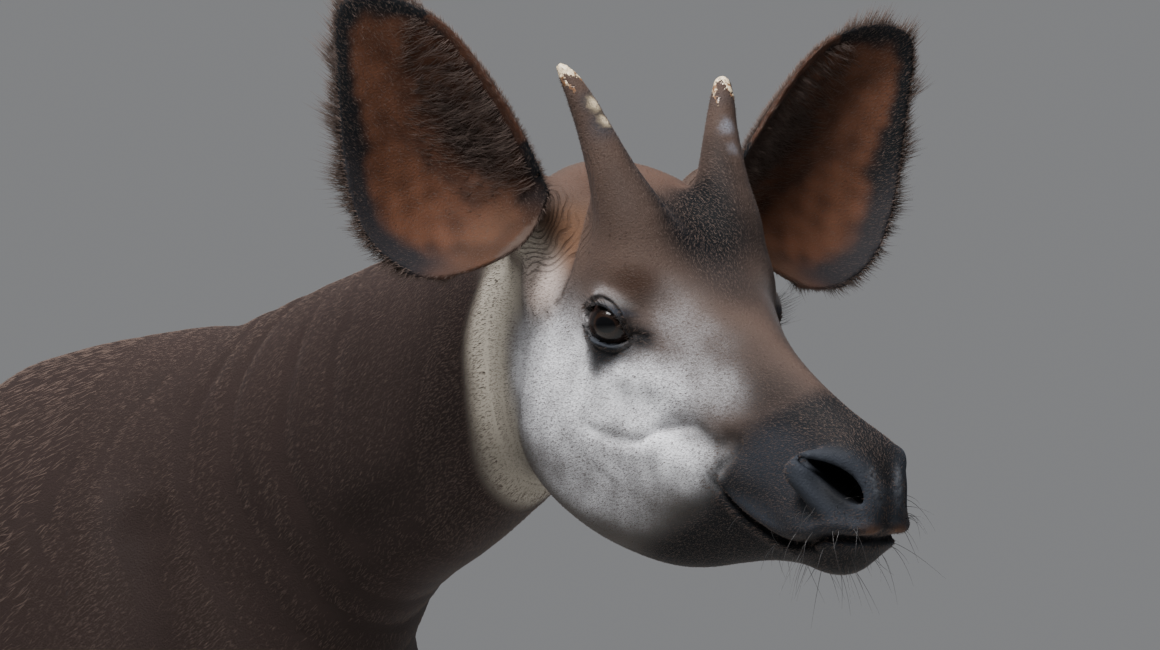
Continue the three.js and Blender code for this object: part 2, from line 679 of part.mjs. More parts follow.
function build() {
  let body = makeBody();
  const ossicones = [-1, 1].map((side) => inHead(limbLoft(ossiconeRows(side), FORWARD, 12, 2)));
  const ears = [makeEar(-1, EAR_POSE.right), makeEar(1, EAR_POSE.left)];
  body = join([body, ...ossicones, ...ears]);

  // Ears, each parted by a plane beside the head
  ["right", "left"].forEach((word, i) => {
    const side = i === 0 ? -1 : 1;
    const root = [EAR_ROOT[0], side * EAR_PLANE, EAR_ROOT[2] + 60];
    const [rest, ear] = splitAhead(body, root, [0, side, 0], headFrame, 420);
    body = rest;
    addPart(`ear_${word}`, ear, "ear", headGroup, [EAR_ROOT[0], side * EAR_PLANE, EAR_ROOT[2]]);
  });

  // Ossicones and their bare tips
  ["right", "left"].forEach((word, i) => {
    const side = i === 0 ? -1 : 1;
    const rows = ossiconeRows(side).map((row) => new THREE.Vector3(...row.slice(0, 3)));
    const along = rows.at(-1).clone().sub(rows[1]).normalize();
    const seam = [OSSICONE_SEAM[0], -side * OSSICONE_SEAM[1], OSSICONE_SEAM[2]];
    const tipSeam = rows.at(-1).clone().addScaledVector(along, -BARE_TIP).toArray();
    const [rest, horn] = splitAhead(body, seam, along.toArray(), headFrame, HORN_BOX);
    const [base, tip] = splitAhead(horn, tipSeam, along.toArray(), headFrame, HORN_BOX);
    body = rest;
    addPart(`ossicone_${word}`, base, "ossicone", headGroup, seam);
    addPart(`ossicone_tip_${word}`, tip, "bone", headGroup, tipSeam);
  });

  // Legs, hooves
  const low = [-1500, -600, -100];
  const legBox = (top) => solidOf(boxBetween(low, [1500, 600, top]));
  const allLegs = body.intersect(legBox(LEG_TOP - GAP)).decompose();
  body = largest(body.subtract(legBox(LEG_TOP)));
  for (const name of Object.keys(STRIDE)) {
    const rows = rowsOf(name);
    const foot = legRows(rows, name).at(-1);
    const group = new THREE.Group();
    group.position.set(foot[0], foot[1], 0);
    okapi.add(group);
    okapi.updateMatrixWorld(true);
    const leg = largest(
      join(
        allLegs.filter((piece) => {
          const { min, max } = piece.boundingBox();
          return (min[0] + max[0]) * foot[0] > 0 && (min[1] + max[1]) * foot[1] > 0;
        }),
      ),
    );
    const joint = rows === FORELEG ? KNEE_CUT : HOCK_CUT;
    const [upper, below] = splitAhead(leg, [0, 0, joint], [0, 0, -1]);
    const shank = largest(below.subtract(solidOf(boxBetween(low, [1500, 600, CORONET]))));
    addPart(`${name}_upper`, upper, "coat", group, [0, 0, joint]);
    addPart(`${name}_lower`, shank, "stocking", group, [0, 0, CORONET]);
    for (const [claw, solid] of Object.entries(makeHooves(rows, name))) {
      addPart(`hoof_${name}_${claw}`, solid, "hoof", group);
    }
  }

  // Tail and tuft
  const [trunk, tail] = splitAhead(body, [TAIL_SEAM, 0, 1100], [-1, 0, 0]);
  const [dock, tuftCore] = splitAhead(tail, [0, 0, TUFT.top], [0, 0, -1]);
  addPart("tail", dock, "coat", okapi, [TAIL_SEAM, 0, TAIL[1][2]]);
  addPart("tail_tuft", makeTuft(tuftCore), "coat", okapi, [TAIL_END[0], 0, TUFT.top]);

  // Torso, neck and head
  const [torso, neckAndHead] = splitAhead(trunk, NECK_SEAM.point, NECK_SEAM.normal);
  const [neck, wholeHead] = splitAhead(neckAndHead, HEAD_SEAM.point, HEAD_SEAM.normal, headFrame);
  addPart("torso", torso, "coat", okapi, [0, 0, LEG_TOP]);
  addPart("neck", neck, "coat", okapi, NECK_SEAM.point);

  const { opened, eyes } = openEyes(openNostrils(wholeHead));
  const cut = opened.subtract(inHead(mouthSlot()));
  const [head, front] = [
    cut.subtract(inHead(ahead([MUZZLE_PLANE, 0, 0], [1, 0, 0], 600))),
    cut.intersect(inHead(ahead([MUZZLE_PLANE + GAP, 0, 0], [1, 0, 0], 600))),
  ];
  const lips = front.decompose().sort((a, b) => b.volume() - a.volume());
  addPart("head", head, "face", headGroup);
  addPart("muzzle", lips[0], "muzzle", headGroup, [MUZZLE_PLANE, 0, 0]);
  addPart("lower_lip", lips[1], "muzzle", headGroup, [MUZZLE_PLANE, 0, MOUTH[1][1]]);
  addPart("eye_right", eyes.right, "eye", headGroup, EYE);
  addPart("eye_left", eyes.left, "eye", headGroup, [EYE[0], -EYE[1], EYE[2]]);
}

build();

// The origin is under the middle of the whole animal, at the floor.
const reach = new THREE.Box3().setFromObject(okapi, true);
const middle = reach.getCenter(new THREE.Vector3());
okapi.position.set(-middle.x, -middle.y, -reach.min.z);

export default okapi;
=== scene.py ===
"""Dresses the okapi: one skin over its solids, a coat of tufts, eyes, horn tips, hooves and a stage."""

import functools
import math

import bmesh
import bpy
import numpy as np
from bpy.props import FloatProperty, FloatVectorProperty, IntProperty, PointerProperty
from bpy.types import Operator, Panel, PropertyGroup
from mathutils import Matrix, Vector


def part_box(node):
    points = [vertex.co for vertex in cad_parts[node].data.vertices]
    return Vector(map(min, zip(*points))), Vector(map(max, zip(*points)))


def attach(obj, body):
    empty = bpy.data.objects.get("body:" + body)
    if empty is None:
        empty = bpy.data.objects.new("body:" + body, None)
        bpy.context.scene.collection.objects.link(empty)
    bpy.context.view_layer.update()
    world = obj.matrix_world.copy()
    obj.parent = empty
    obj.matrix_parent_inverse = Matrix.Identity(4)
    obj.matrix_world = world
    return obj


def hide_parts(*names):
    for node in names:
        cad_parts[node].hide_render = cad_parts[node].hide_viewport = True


bl_info = {
    "name": "Okapi",
    "version": (1, 0, 0),
    "blender": (4, 5, 0),
    "location": "View3D > Sidebar > Okapi",
    "description": "Skin, coat, eyes and stage for a life-size okapi",
    "category": "Add Mesh",
}

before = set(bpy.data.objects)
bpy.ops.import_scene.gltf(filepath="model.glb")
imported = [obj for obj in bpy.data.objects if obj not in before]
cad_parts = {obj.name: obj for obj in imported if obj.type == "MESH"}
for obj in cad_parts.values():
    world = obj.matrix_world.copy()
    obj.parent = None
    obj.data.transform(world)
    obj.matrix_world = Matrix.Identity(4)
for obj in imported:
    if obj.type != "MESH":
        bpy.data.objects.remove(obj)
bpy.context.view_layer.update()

MM = 0.001


# Settings


def length(name, description, default):
    return FloatProperty(
        name=name, description=description, default=default, min=0, precision=4, unit="LENGTH"
    )


def colour(name, description, default):
    return FloatVectorProperty(
        name=name, description=description, default=default, min=0, max=1, subtype="COLOR"
    )


def power(name, description, default):
    return FloatProperty(name=name, description=description, default=default, min=0, unit="POWER")


def number(name, description, default):
    return IntProperty(name=name, description=description, default=default, min=1)


def fraction(name, description, default):
    return FloatProperty(name=name, description=description, default=default, min=0.05, max=1)


class OkapiSkinSettings(PropertyGroup):
    """Sizes of the skin."""

    body_step: length("Body net", "Distance between the points of the body's skin", 0.0175)
    head_step: length("Head net", "Distance between the points of the head's skin", 0.0046)
    body_coat: length("Body coat", "How far the skin lies under the tips of the body's coat", 0.0045)
    face_coat: length("Face coat", "How far the skin lies under the tips of the face's coat", 0.0012)
    mouth_depth: length("Mouth depth", "Depth of the groove between the lips", 0.008)
    mouth_width: length("Mouth width", "Half the width of the groove between the lips", 0.003)
    wrinkle_gap: length("Ear wrinkles", "Distance between the fine folds round the root of each ear", 0.0046)


class OkapiCoatSettings(PropertyGroup):
    """Colours of the coat, and how dense it is."""

    trunk: colour("Trunk", "Chocolate of neck and trunk", (0.020, 0.0135, 0.012))
    crown: colour("Crown", "Grey-brown of forehead and nose", (0.060, 0.040, 0.032))
    jaw: colour("Jaw", "Grey of the jaw's underside", (0.066, 0.060, 0.056))
    cheek: colour("Cheek", "Grey under the pale hairs of the face", (0.105, 0.100, 0.100))
    frost: colour("Frost", "Pale hairs of the face", (0.86, 0.86, 0.90))
    cream: colour("Cream", "Throat, stripes and stockings", (0.60, 0.54, 0.45))
    bump: colour("Bump", "Pale swelling behind the eye", (0.55, 0.45, 0.40))
    brow: colour("Brow", "Dark brown patch over the eye", (0.026, 0.0135, 0.009))
    rust: colour("Rust", "Inside of the ears, and the poll", (0.066, 0.028, 0.016))
    tan: colour("Tan", "Temples, and the short hair in the middle of the upper lip", (0.125, 0.064, 0.036))
    black: colour("Black", "Muzzle, lids and the ears' margins", (0.0060, 0.0064, 0.0072))
    slate: colour("Slate", "Blue-grey sheen of muzzle and lids", (0.028, 0.032, 0.041))
    bone: colour("Bone", "Bare bone of the ossicones", (0.62, 0.50, 0.34))
    density: fraction("Density", "Share of the full number of tufts", 1)


class OkapiEyeSettings(PropertyGroup):
    """Sizes and colour of the eyes."""

    radius: length("Eyeball", "Radius of the eyeball", 0.0228)
    pupil_width: length("Pupil width", "Half the width of the pupil", 0.0086)
    pupil_height: length("Pupil height", "Half the height of the pupil", 0.0064)
    iris_radius: length("Iris", "Radius of the iris", 0.0124)
    iris: colour("Iris colour", "Lightest brown of the iris", (0.022, 0.011, 0.007))


class OkapiHornSettings(PropertyGroup):
    """The bare tips of the ossicones."""

    bare: length("Bare tip", "Length of the bare bone at the tip", 0.024)
    stain: colour("Stain", "Brown of the chipped rim", (0.17, 0.085, 0.04))


class OkapiHoofSettings(PropertyGroup):
    """Sizes and colours of the hooves."""

    spread: length("Claw spread", "Distance of a claw's middle from the foot's", 0.0195)
    dark: colour("Dark horn", "Darkest of the claw's rings", (0.016, 0.012, 0.010))
    light: colour("Light horn", "Lightest of the claw's rings", (0.075, 0.052, 0.038))


class OkapiBristleSettings(PropertyGroup):
    """Whiskers and lashes."""

    chin: number("Chin whiskers", "Whiskers on the chin", 48)
    lips: number("Lip whiskers", "Whiskers on the upper lip", 40)
    longest: length("Longest whisker", "Length of the longest whisker", 0.038)
    lashes: number("Lashes", "Lashes of each eye", 46)
    tint: colour("Bristle colour", "Colour of whiskers and lashes", (0.03, 0.028, 0.028))


class OkapiStageSettings(PropertyGroup):
    """Floor, backdrop and lamps."""

    floor: colour("Floor", "Colour of the floor", (0.55, 0.55, 0.54))
    backdrop: colour("Backdrop", "Colour of the light all round", (0.62, 0.63, 0.65))
    strength: fraction("Backdrop strength", "Strength of the light all round", 0.36)
    key: power("Key lamp", "Power of the lamp above and before the animal", 410)
    fill: power("Fill lamp", "Power of the lamp ahead of it", 14)
    top: power("Top lamp", "Power of the lamp above its neck", 200)


def hue(name):
    """A colour of the coat's settings, as linear red, green and blue."""
    return tuple(getattr(bpy.context.scene.okapi_coat, name))


# The animal's own measures, in millimetres, as its solids have them

EYES = (1140, -130, 1578)  # on the head's middle plane, level with the eyes
HEAD_TURN = (1, 16, -14)  # roll, pitch and turn in degrees
EYE = (-14, -66, -2)  # the right one's middle
EYE_RADIUS = 24  # of the solid eye; the eyeball under the lids is a little smaller
EYE_LOOK = (30, 3)  # degrees forward of sideways, and up
# Flanks: x, height of the widest place, top, bottom, half width, squareness above and below
TRUNK = [
    (-735, 1200, 1250, 1120, 48, 2, 2),
    (-705, 1205, 1308, 1068, 108, 2.1, 2),
    (-645, 1205, 1374, 1030, 158, 2.2, 2),
    (-550, 1205, 1418, 995, 192, 2.2, 2),
    (-430, 1205, 1442, 966, 217, 2.2, 2.2),
    (-290, 1190, 1450, 944, 238, 2.1, 2.3),
    (-120, 1168, 1460, 918, 257, 2, 2.3),
    (50, 1155, 1476, 898, 260, 1.9, 2.2),
    (190, 1165, 1503, 890, 238, 1.8, 2.1),
    (315, 1180, 1540, 892, 205, 1.8, 2.1),
    (430, 1195, 1553, 904, 180, 1.8, 2),
    (530, 1205, 1530, 930, 160, 1.9, 2),
    (610, 1205, 1400, 975, 134, 2, 2),
    (668, 1200, 1285, 1045, 98, 2, 2),
    (702, 1190, 1228, 1115, 48, 2, 2),
]
HEAD = [
    (-222, -30, 26, -92, 42, 2, 2),
    (-190, -20, 76, -130, 66, 2, 2.1),
    (-150, -10, 96, -160, 77, 2.2, 2.4),
    (-105, -8, 98, -183, 82, 2.3, 2.6),
    (-55, -8, 87, -196, 82, 2.3, 2.4),
    (-12, -12, 69, -199, 77, 2.4, 2.1),
    (30, -26, 51, -195, 68, 2.1, 1.9),
    (70, -45, 33, -184, 56, 1.9, 1.8),
    (110, -60, 17, -168, 47, 1.8, 1.8),
    (150, -68, 4, -153, 41, 1.8, 1.9),
    (190, -70, -7, -143, 39, 1.9, 2),
    (225, -72, -16, -136, 39, 2.1, 2.1),
    (250, -73, -27, -126, 36, 2.3, 2.2),
    (265, -74, -40, -112, 28, 2.2, 2.2),
    (274, -75, -54, -97, 18, 2, 2),
    (278, -75, -66, -84, 8, 2, 2),
]
# Limbs: the middle, and how far the section reaches up (or forward), down (or back) and sideways
NECK = [
    (400, 0, 1330, 205, 315, 150),
    (540, -10, 1392, 180, 262, 126),
    (673, -28, 1453, 160, 149, 104),
    (800, -54, 1504, 144, 130, 89),
    (904, -76, 1548, 128, 114, 78),
    (990, -94, 1590, 110, 102, 70),
]
FORELEG = [
    (468, 118, 1180, 105, 125, 60),
    (446, 140, 1020, 104, 120, 63),
    (432, 145, 905, 78, 94, 56),
    (434, 141, 800, 56, 62, 45),
    (442, 136, 680, 42, 45, 36),
    (446, 131, 560, 36, 37, 31),
    (450, 129, 500, 41, 36, 36),
    (448, 128, 452, 35, 34, 32),
    (445, 127, 395, 26, 29, 24),
    (445, 126, 300, 24, 27, 22.5),
    (447, 125, 210, 26, 32, 26),
    (450, 125, 165, 31, 37, 31),
    (462, 125, 115, 27, 29, 28),
    (475, 125, 80, 34, 36, 37),
    (478, 125, 58, 36, 38, 39),
]
HINDLEG = [
    (-500, 120, 1230, 150, 145, 74),
    (-484, 142, 1090, 162, 146, 82),
    (-458, 150, 975, 150, 124, 74),
    (-468, 148, 865, 108, 98, 60),
    (-512, 142, 755, 68, 68, 46),
    (-553, 138, 655, 43, 52, 35),
    (-572, 135, 585, 40, 54, 36),
    (-564, 134, 530, 36, 43, 33),
    (-550, 133, 450, 28, 33, 26),
    (-538, 132, 330, 26, 30, 24),
    (-528, 131, 220, 28, 34, 27),
    (-522, 130, 168, 32, 39, 32),
    (-508, 130, 115, 28, 30, 29),
    (-495, 130, 80, 34, 36, 37),
    (-492, 130, 58, 36, 38, 39),
]
TAIL = [
    (-665, 0, 1352, 46, 48, 42),
    (-725, 0, 1322, 33, 34, 30),
    (-768, 0, 1262, 21, 21, 20),
    (-788, 0, 1175, 15, 15, 15),
    (-794, 0, 1085, 12, 12, 12),
    (-792, 0, 990, 10, 10, 10),
]
OSSICONE = [
    (-16, -36, 22, 38, 38, 36),
    (-38, -44, 66, 34, 34, 31),
    (-61, -53, 103, 21, 23, 20),
    (-82, -61, 136, 13.5, 15, 13.5),
    (-95, -67, 158, 10, 11, 10),
    (-104, -71, 172, 6.5, 6.5, 6.5),
    (-106, -72, 176, 2.5, 2.5, 2.5),
]
OSSICONE_LEAN = (-13, -12, 6)  # of the right one's tip
STRIDE = {"foreleg_left": -45, "foreleg_right": 40, "hindleg_left": 55, "hindleg_right": -50}
STRIDE_HEIGHT = 0.92
CORONET = 62  # where skin gives way to hoof
FOOT_END = 48  # the skin ends inside the hooves
# Swellings of the skin: middle of the left one, its reach three ways, its height
TRUNK_FORMS = {
    "shoulder_blade": ((462, 150, 1310), (85, 90, 165), 28),
    "shoulder_point": ((575, 130, 1130), (70, 75, 85), 30),
    "upper_arm": ((395, 180, 1045), (115, 90, 120), 30),
    "thigh": ((-500, 190, 1120), (150, 100, 190), 36),
    "buttock": ((-660, 100, 1180), (70, 80, 130), 22),
    "hip": ((-305, 150, 1375), (85, 75, 75), 15),
    "hollow_of_flank": ((-240, 230, 1330), (80, 70, 60), -16),
    "breast": ((650, 50, 1130), (60, 50, 80), 16),
}
HEAD_FORMS = {
    "cheek": ((-60, 72, -98), (58, 40, 56), 10),
    "brow": ((-12, 62, 42), (36, 30, 22), 9),
    "temple": ((-88, 74, 48), (18, 24, 30), -9),
    "cheekbone": ((28, 62, -36), (44, 26, 13), 6),
    "under_eye": ((40, 60, -62), (56, 30, 16), -4),
    "lower_cheek": ((66, 52, -92), (50, 24, 18), 8),
    "below_ear": ((-96, 87, 1), (19, 20, 25), 10),
    "ear_root": ((-128, 74, 50), (34, 40, 36), 30),
    "lip_corner": ((146, 42, -90), (24, 20, 20), 5),
    "upper_lip": ((218, 40, -96), (46, 22, 18), 8),
    "nose": ((240, 26, -40), (24, 24, 20), 6),
    "chin": ((236, 0, -132), (30, 26, 16), 6),
}
# Folds of the head's skin: half width, height (below nought for a groove), and the line it follows
HEAD_FOLDS = {
    "brow_ridge": (
        5, 5, [(-74, 58, 90), (-71, 66, 67), (-64, 73, 46), (-59, 78, 28), (-61, 81, 12), (-66, 82, -2)],
    ),
    "behind_bump": (6, -5.5, [(-119, 92, 28), (-131, 87, 6), (-130, 84, -18), (-114, 84, -44)]),
    "under_bump": (5, -3, [(-118, 84, -38), (-104, 84, -36), (-88, 84, -22), (-80, 82, -6)]),
    "bump_crease": (3, -2.2, [(-106, 86, -12), (-101, 86, -20), (-95, 85, -25)]),
    "jaw_rear": (8, -3.5, [(-116, 84, -46), (-112, 82, -90), (-128, 64, -135), (-122, 50, -165)]),
    "cheek_groove": (
        5.5, -6,
        [(-26, 74, -88), (-10, 72, -92), (8, 68, -92), (32, 60, -87), (53, 53, -71), (79, 48, -61),
         (109, 44, -66)],
    ),
    "cheek_pocket": (8, -8, [(112, 45, -66), (128, 43, -62), (138, 42, -64)]),
    "above_groove": (9, 2.5, [(20, 62, -70), (48, 56, -55), (80, 48, -46)]),
    "beside_septum": (6, -6, [(250, 22, -37), (260, 17, -42), (267, 11, -50), (272, 9, -62)]),
    "above_lip": (7, -3.5, [(228, 46, -67), (242, 40, -75), (256, 32, -82), (268, 24, -86)]),
    "philtrum": (4, -2.2, [(272, 0, -44), (281, 0, -62), (283, 0, -80), (280, 0, -98)]),
    "lip_fold": (5, -4.5, [(132, 42, -68), (120, 42, -84), (112, 41, -104)]),
    "corner_fold": (7, -4, [(112, 41, -110), (93, 38, -127), (62, 38, -150)]),
    "jaw_streak": (5, -2, [(-20, 66, -122), (8, 60, -134), (34, 50, -146)]),
    "throat_fold": (5, -2.5, [(-176, 62, -140), (-165, 40, -172), (-160, 12, -196)]),
    "band_front": (4, -3.2, [(-140, 86, -24), (-140, 82, -70), (-138, 72, -116), (-138, 52, -150)]),
    "band_middle": (4, -3.6, [(-166, 82, -14), (-164, 80, -66), (-158, 72, -112), (-154, 52, -152)]),
    "band_rear": (5, 2, [(-182, 78, -24), (-180, 76, -70), (-174, 70, -112)]),
    "ear_fold_one": (4, -2.4, [(-136, 92, 26), (-150, 86, 12), (-166, 80, 2), (-184, 74, -8)]),
    "ear_fold_two": (4, -2.2, [(-140, 88, 8), (-154, 84, -6), (-172, 78, -18)]),
    "nose_arch": (6, 1.6, [(150, 34, -34), (172, 32, -22), (204, 28, -20)]),
}
# Folds of the neck's and shoulder's skin, in the animal's own frame
NECK_FOLDS = {
    "jugular": (24, -7, [(925, 150, 1512), (880, 138, 1470), (842, 124, 1436), (727, 112, 1385)]),
    "blade_edge": (30, -12, [(540, 140, 1440), (556, 146, 1370), (572, 150, 1290), (580, 150, 1200)]),
    "blade_front": (22, 5, [(492, 140, 1450), (506, 158, 1380), (514, 166, 1300), (520, 168, 1220)]),
    "base_one": (9, -3.5, [(652, 60, 1598), (622, 100, 1530), (632, 126, 1450), (676, 122, 1370)]),
    "base_two": (8, -3, [(603, 69, 1572), (575, 112, 1500), (592, 140, 1420), (634, 132, 1340)]),
    "base_three": (8, -2.5, [(540, 66, 1552), (500, 112, 1490), (492, 140, 1420), (500, 160, 1330)]),
    "base_four": (9, -3, [(705, 70, 1600), (690, 118, 1530), (698, 132, 1460), (735, 118, 1390)]),
    "mid_one": (8, -2, [(770, 72, 1622), (752, 118, 1556), (756, 134, 1490)]),
    "shoulder_one": (10, -3, [(474, 131, 1469), (452, 150, 1440), (446, 168, 1370)]),
    "shoulder_two": (12, 3, [(413, 154, 1426), (420, 176, 1350), (432, 186, 1270)]),
}
EAR_ROOT = (-104, -97, 69)
EAR_POSE = {"right": (46, 24), "left": (38, -8)}  # degrees of rise and outward turn
EAR_WALL = 4.2
EAR_DEPTH = 42
EAR_CURL = 9  # how far the ear's edge turns back out of the cup
EAR_LENGTH = 223
EAR_MIDDLE = (92, 18)  # along the ear and across it
EAR_EDGE = [
    (2, -14), (69, -36), (151, -48), (206, -28), (223, 2),
    (192, 36), (116, 98), (62, 116), (14, 94), (-12, 32),
]
EAR_STALK = ((4, 4, -40), (44, 34, 19))  # its middle in the ear's own frame, and its reach three ways
MOUTH = [(104, -92), (112, -97), (128, -105), (152, -116), (190, -122), (228, -112), (254, -99), (300, -91)]
NOSTRIL = {"middle": (243, -30, -56), "outward": (0.6, -0.78, 0.15), "along": (60, 30, -23)}

SPLICE = ((812, -56, 1508), (0.86, -0.19, 0.36))  # where the two stretches are joined, round the neck
SPLICE_GAP = 0.005
# Width of the fillet where each form joins the rest, in metres
FILLET = {
    "neck": 0.09, "leg": 0.05, "foot": 0.01, "tail": 0.02, "ossicone": 0.02,
    "stalk": 0.012, "ear": 0.014, "head": 0.03, "eye": 0.011,
}
FAR = 0.5  # stands for the distance of points that are nowhere near a form
TINY = 1e-9  # keeps a division from meeting nought


# Shapes told as distances


def rotation(roll, pitch, turn):
    """Turns about X, then Y, then Z, in degrees, as a 3 x 3 array."""
    turned = Matrix.Rotation(math.radians(turn), 3, "Z")
    turned = turned @ Matrix.Rotation(math.radians(pitch), 3, "Y")
    return np.array(turned @ Matrix.Rotation(math.radians(roll), 3, "X"))


HEAD_AXES = rotation(*HEAD_TURN)


def standing_place():
    """Where the animal's own measures have their zero, in the frame: the eyes are at known places in both."""
    middles = []
    for side, name in ((-1, "eye_right"), (1, "eye_left")):
        low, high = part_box(name)
        eye = np.array((EYE[0], -side * EYE[1], EYE[2])) * MM
        middles.append((np.array(low) + np.array(high)) / 2 - HEAD_AXES @ eye)
    return (middles[0] + middles[1]) / 2 - np.array(EYES) * MM


ORIGIN = standing_place()


def to_head(points):
    """Points of the animal's own frame, told in the head's."""
    return (points - np.array(EYES) * MM) @ HEAD_AXES


def from_head(points):
    return np.asarray(points, float) @ HEAD_AXES.T + np.array(EYES) * MM


def folded(points):
    """Points with the animal's right side laid over its left."""
    return np.column_stack((points[:, 0], np.abs(points[:, 1]), points[:, 2]))


def unit(vector):
    return vector / np.linalg.norm(vector)


def units(rows):
    """Rows of numbers, each brought to length 1."""
    return rows / np.linalg.norm(rows, axis=1)[:, None]


def smooth_rows(rows, steps):
    """Rows of numbers with more between each two, on a smooth curve."""
    rows = np.array(rows, float)
    out = []
    for i in range(len(rows) - 1):
        a, b = rows[max(i - 1, 0)], rows[i]
        c, d = rows[i + 1], rows[min(i + 2, len(rows) - 1)]
        for t in np.arange(steps) / steps:
            bend = (2 * a - 5 * b + 4 * c - d) * t**2 + (3 * b - a - 3 * c + d) * t**3
            out.append(0.5 * (2 * b + (c - a) * t + bend))
    out.append(rows[-1])
    return np.array(out)


def soft_min(a, b, width):
    """The nearer of two shapes, with a fillet of about that width where they meet."""
    share = np.clip(0.5 + 0.5 * (b - a) / width, 0, 1)
    return b + (a - b) * share - width * share * (1 - share)


def soft_max(a, b, width):
    return -soft_min(-a, -b, width)


def step_between(low, high, value):
    """0 below low, 1 above high, smooth between."""
    share = np.clip((value - low) / (high - low), 0, 1)
    return share * share * (3 - 2 * share)


def bell(value, middle, width):
    """1 in the middle, falling to nought on either side of it."""
    return np.exp(-(((value - middle) / width) ** 2))


def swelling(forms, points):
    """How far the forms under the skin push it out at each point, in metres."""
    total = np.zeros(len(points))
    for middle, reach, height in forms.values():
        away = folded(points) / MM - np.array(middle)
        total += height * MM * np.exp(-((away / np.array(reach)) ** 2).sum(1))
    return total


FOLD_END = 0.2  # share of a fold's length over which it fades


def fold_height(folds, points):
    """How far the folds raise or sink the skin at points, in metres: least towards a fold's two ends."""
    place = folded(points)
    total = np.zeros(len(place))
    for width, height, line in folds.values():
        line = smooth_rows(line, 3) * MM
        reach = width * MM
        near = np.all((place > line.min(0) - 3 * reach) & (place < line.max(0) + 3 * reach), axis=1)
        if near.any():
            away, share = line_distance(line, place[near])
            fade = step_between(0, FOLD_END, share) * step_between(1, 1 - FOLD_END, share)
            total[near] += height * MM * bell(away, 0, reach) * (0.25 + 0.75 * fade)
    return total


def line_distance(line, points):
    """How far points are from a line through rows, and the share of its length where that is."""
    lengths = np.linalg.norm(np.diff(line, axis=0), axis=1)
    travel = np.concatenate(([0], np.cumsum(lengths)))
    best = np.full(len(points), np.inf)
    where = np.zeros(len(points))
    for i, length in enumerate(lengths):
        along = (line[i + 1] - line[i]) / length
        at = np.clip((points - line[i]) @ along, 0, length)
        away = np.linalg.norm(points - line[i] - at[:, None] * along, axis=1)
        nearer = away < best
        best[nearer], where[nearer] = away[nearer], (travel[i] + at[nearer]) / travel[-1]
    return best, where


def ripple(points, wave, seed, waves=20):
    """Soft waves in every direction, about that far from crest to crest, from about -1 to 1 at each point."""
    rng = np.random.default_rng(seed)
    ways = units(rng.normal(size=(waves, 3))) * (2 * math.pi / (wave * MM))
    ways = ways * rng.uniform(0.6, 1.6, (waves, 1))
    total = np.zeros(len(points))
    for way, start in zip(ways, rng.uniform(0, 2 * math.pi, waves)):
        total += np.sin(points @ way + start)
    return total / math.sqrt(waves)


class Flank:
    """A body part that runs along X, told by its flank's rows."""

    def __init__(self, rows, forms):
        smooth = smooth_rows(rows, 4)
        self.rows = smooth[:, 1:] * np.array([MM, MM, MM, MM, 1, 1])
        self.along = smooth[:, 0] * MM
        self.forms = forms

    def section(self, x):
        return [np.interp(x, self.along, column) for column in self.rows.T]

    def __call__(self, points):
        x, y, z = points.T
        widest, top, bottom, half, above, below = self.section(x)
        up = z > widest
        reach = np.where(up, top - widest, widest - bottom)
        power = np.where(up, above, below)
        out = np.hypot(y, z - widest) + TINY
        size = (np.abs(y) / half) ** power + (np.abs(z - widest) / reach) ** power
        share = (size + TINY * MM) ** (1 / power)
        away = out * (1 - 1 / share) - swelling(self.forms, points)
        past = np.maximum(np.maximum(self.along[0] - x, x - self.along[-1]), 0)
        return np.where(past > 0, np.hypot(np.maximum(away, 0), past), away)


LIMB_MARGIN = 0.05  # a limb counts as far beyond this distance from its box


class Limb:
    """A part with elliptical sections on a curve through its rows' middles."""

    def __init__(self, rows, towards, steps=3):
        smooth = smooth_rows(rows, steps) * MM
        self.middles, self.reaches = smooth[:, :3], smooth[:, 3:]
        self.along = units(np.gradient(self.middles, axis=0))
        self.side = units(np.cross(np.array(towards, float), self.along))
        self.up = np.cross(self.along, self.side)
        lengths = np.linalg.norm(np.diff(self.middles, axis=0), axis=1)
        self.travel = np.concatenate(([0], np.cumsum(lengths)))
        margin = self.reaches.max() + LIMB_MARGIN
        self.low, self.high = self.middles.min(0) - margin, self.middles.max(0) + margin

    def nearest(self, points):
        """For each point, the nearest segment of the curve and the share along it."""
        best = np.full(len(points), np.inf)
        segment = np.zeros(len(points), int)
        share = np.zeros(len(points))
        for i, start in enumerate(self.middles[:-1]):
            along = self.middles[i + 1] - start
            at = np.clip((points - start) @ along / (along @ along), 0, 1)
            apart = ((points - start - at[:, None] * along) ** 2).sum(1)
            nearer = apart < best
            best[nearer], segment[nearer], share[nearer] = apart[nearer], i, at[nearer]
        return segment, share

    def local(self, points):
        """Across, up and along from the curve, the section's reaches, and the travel from its start."""
        segment, share = self.nearest(points)

        def mix(rows):
            weight = share if rows.ndim == 1 else share[:, None]
            return rows[segment] * (1 - weight) + rows[segment + 1] * weight

        away = points - mix(self.middles)
        axes = [(away * mix(rows)).sum(1) for rows in (self.side, self.up, self.along)]
        return axes, mix(self.reaches), mix(self.travel)

    def __call__(self, points):
        out = np.full(len(points), FAR)
        inside = np.all((points > self.low) & (points < self.high), axis=1)
        if inside.any():
            (across, up, along), reaches, _ = self.local(points[inside])
            reach = np.where(up > 0, reaches[:, 0], reaches[:, 1])
            share = np.hypot(across / reaches[:, 2], up / reach) + TINY
            away = (np.hypot(across, up) + TINY) * (1 - 1 / share)
            out[inside] = np.hypot(np.maximum(away, 0), along) + np.minimum(away, 0)
        return out


EAR_SPHERE = ((0.1, 0.02, 0), 0.22)  # round the whole ear: its middle in the ear's frame, and its radius
CUP_CURVE = 2.4  # how flat the cup's floor is before it rises


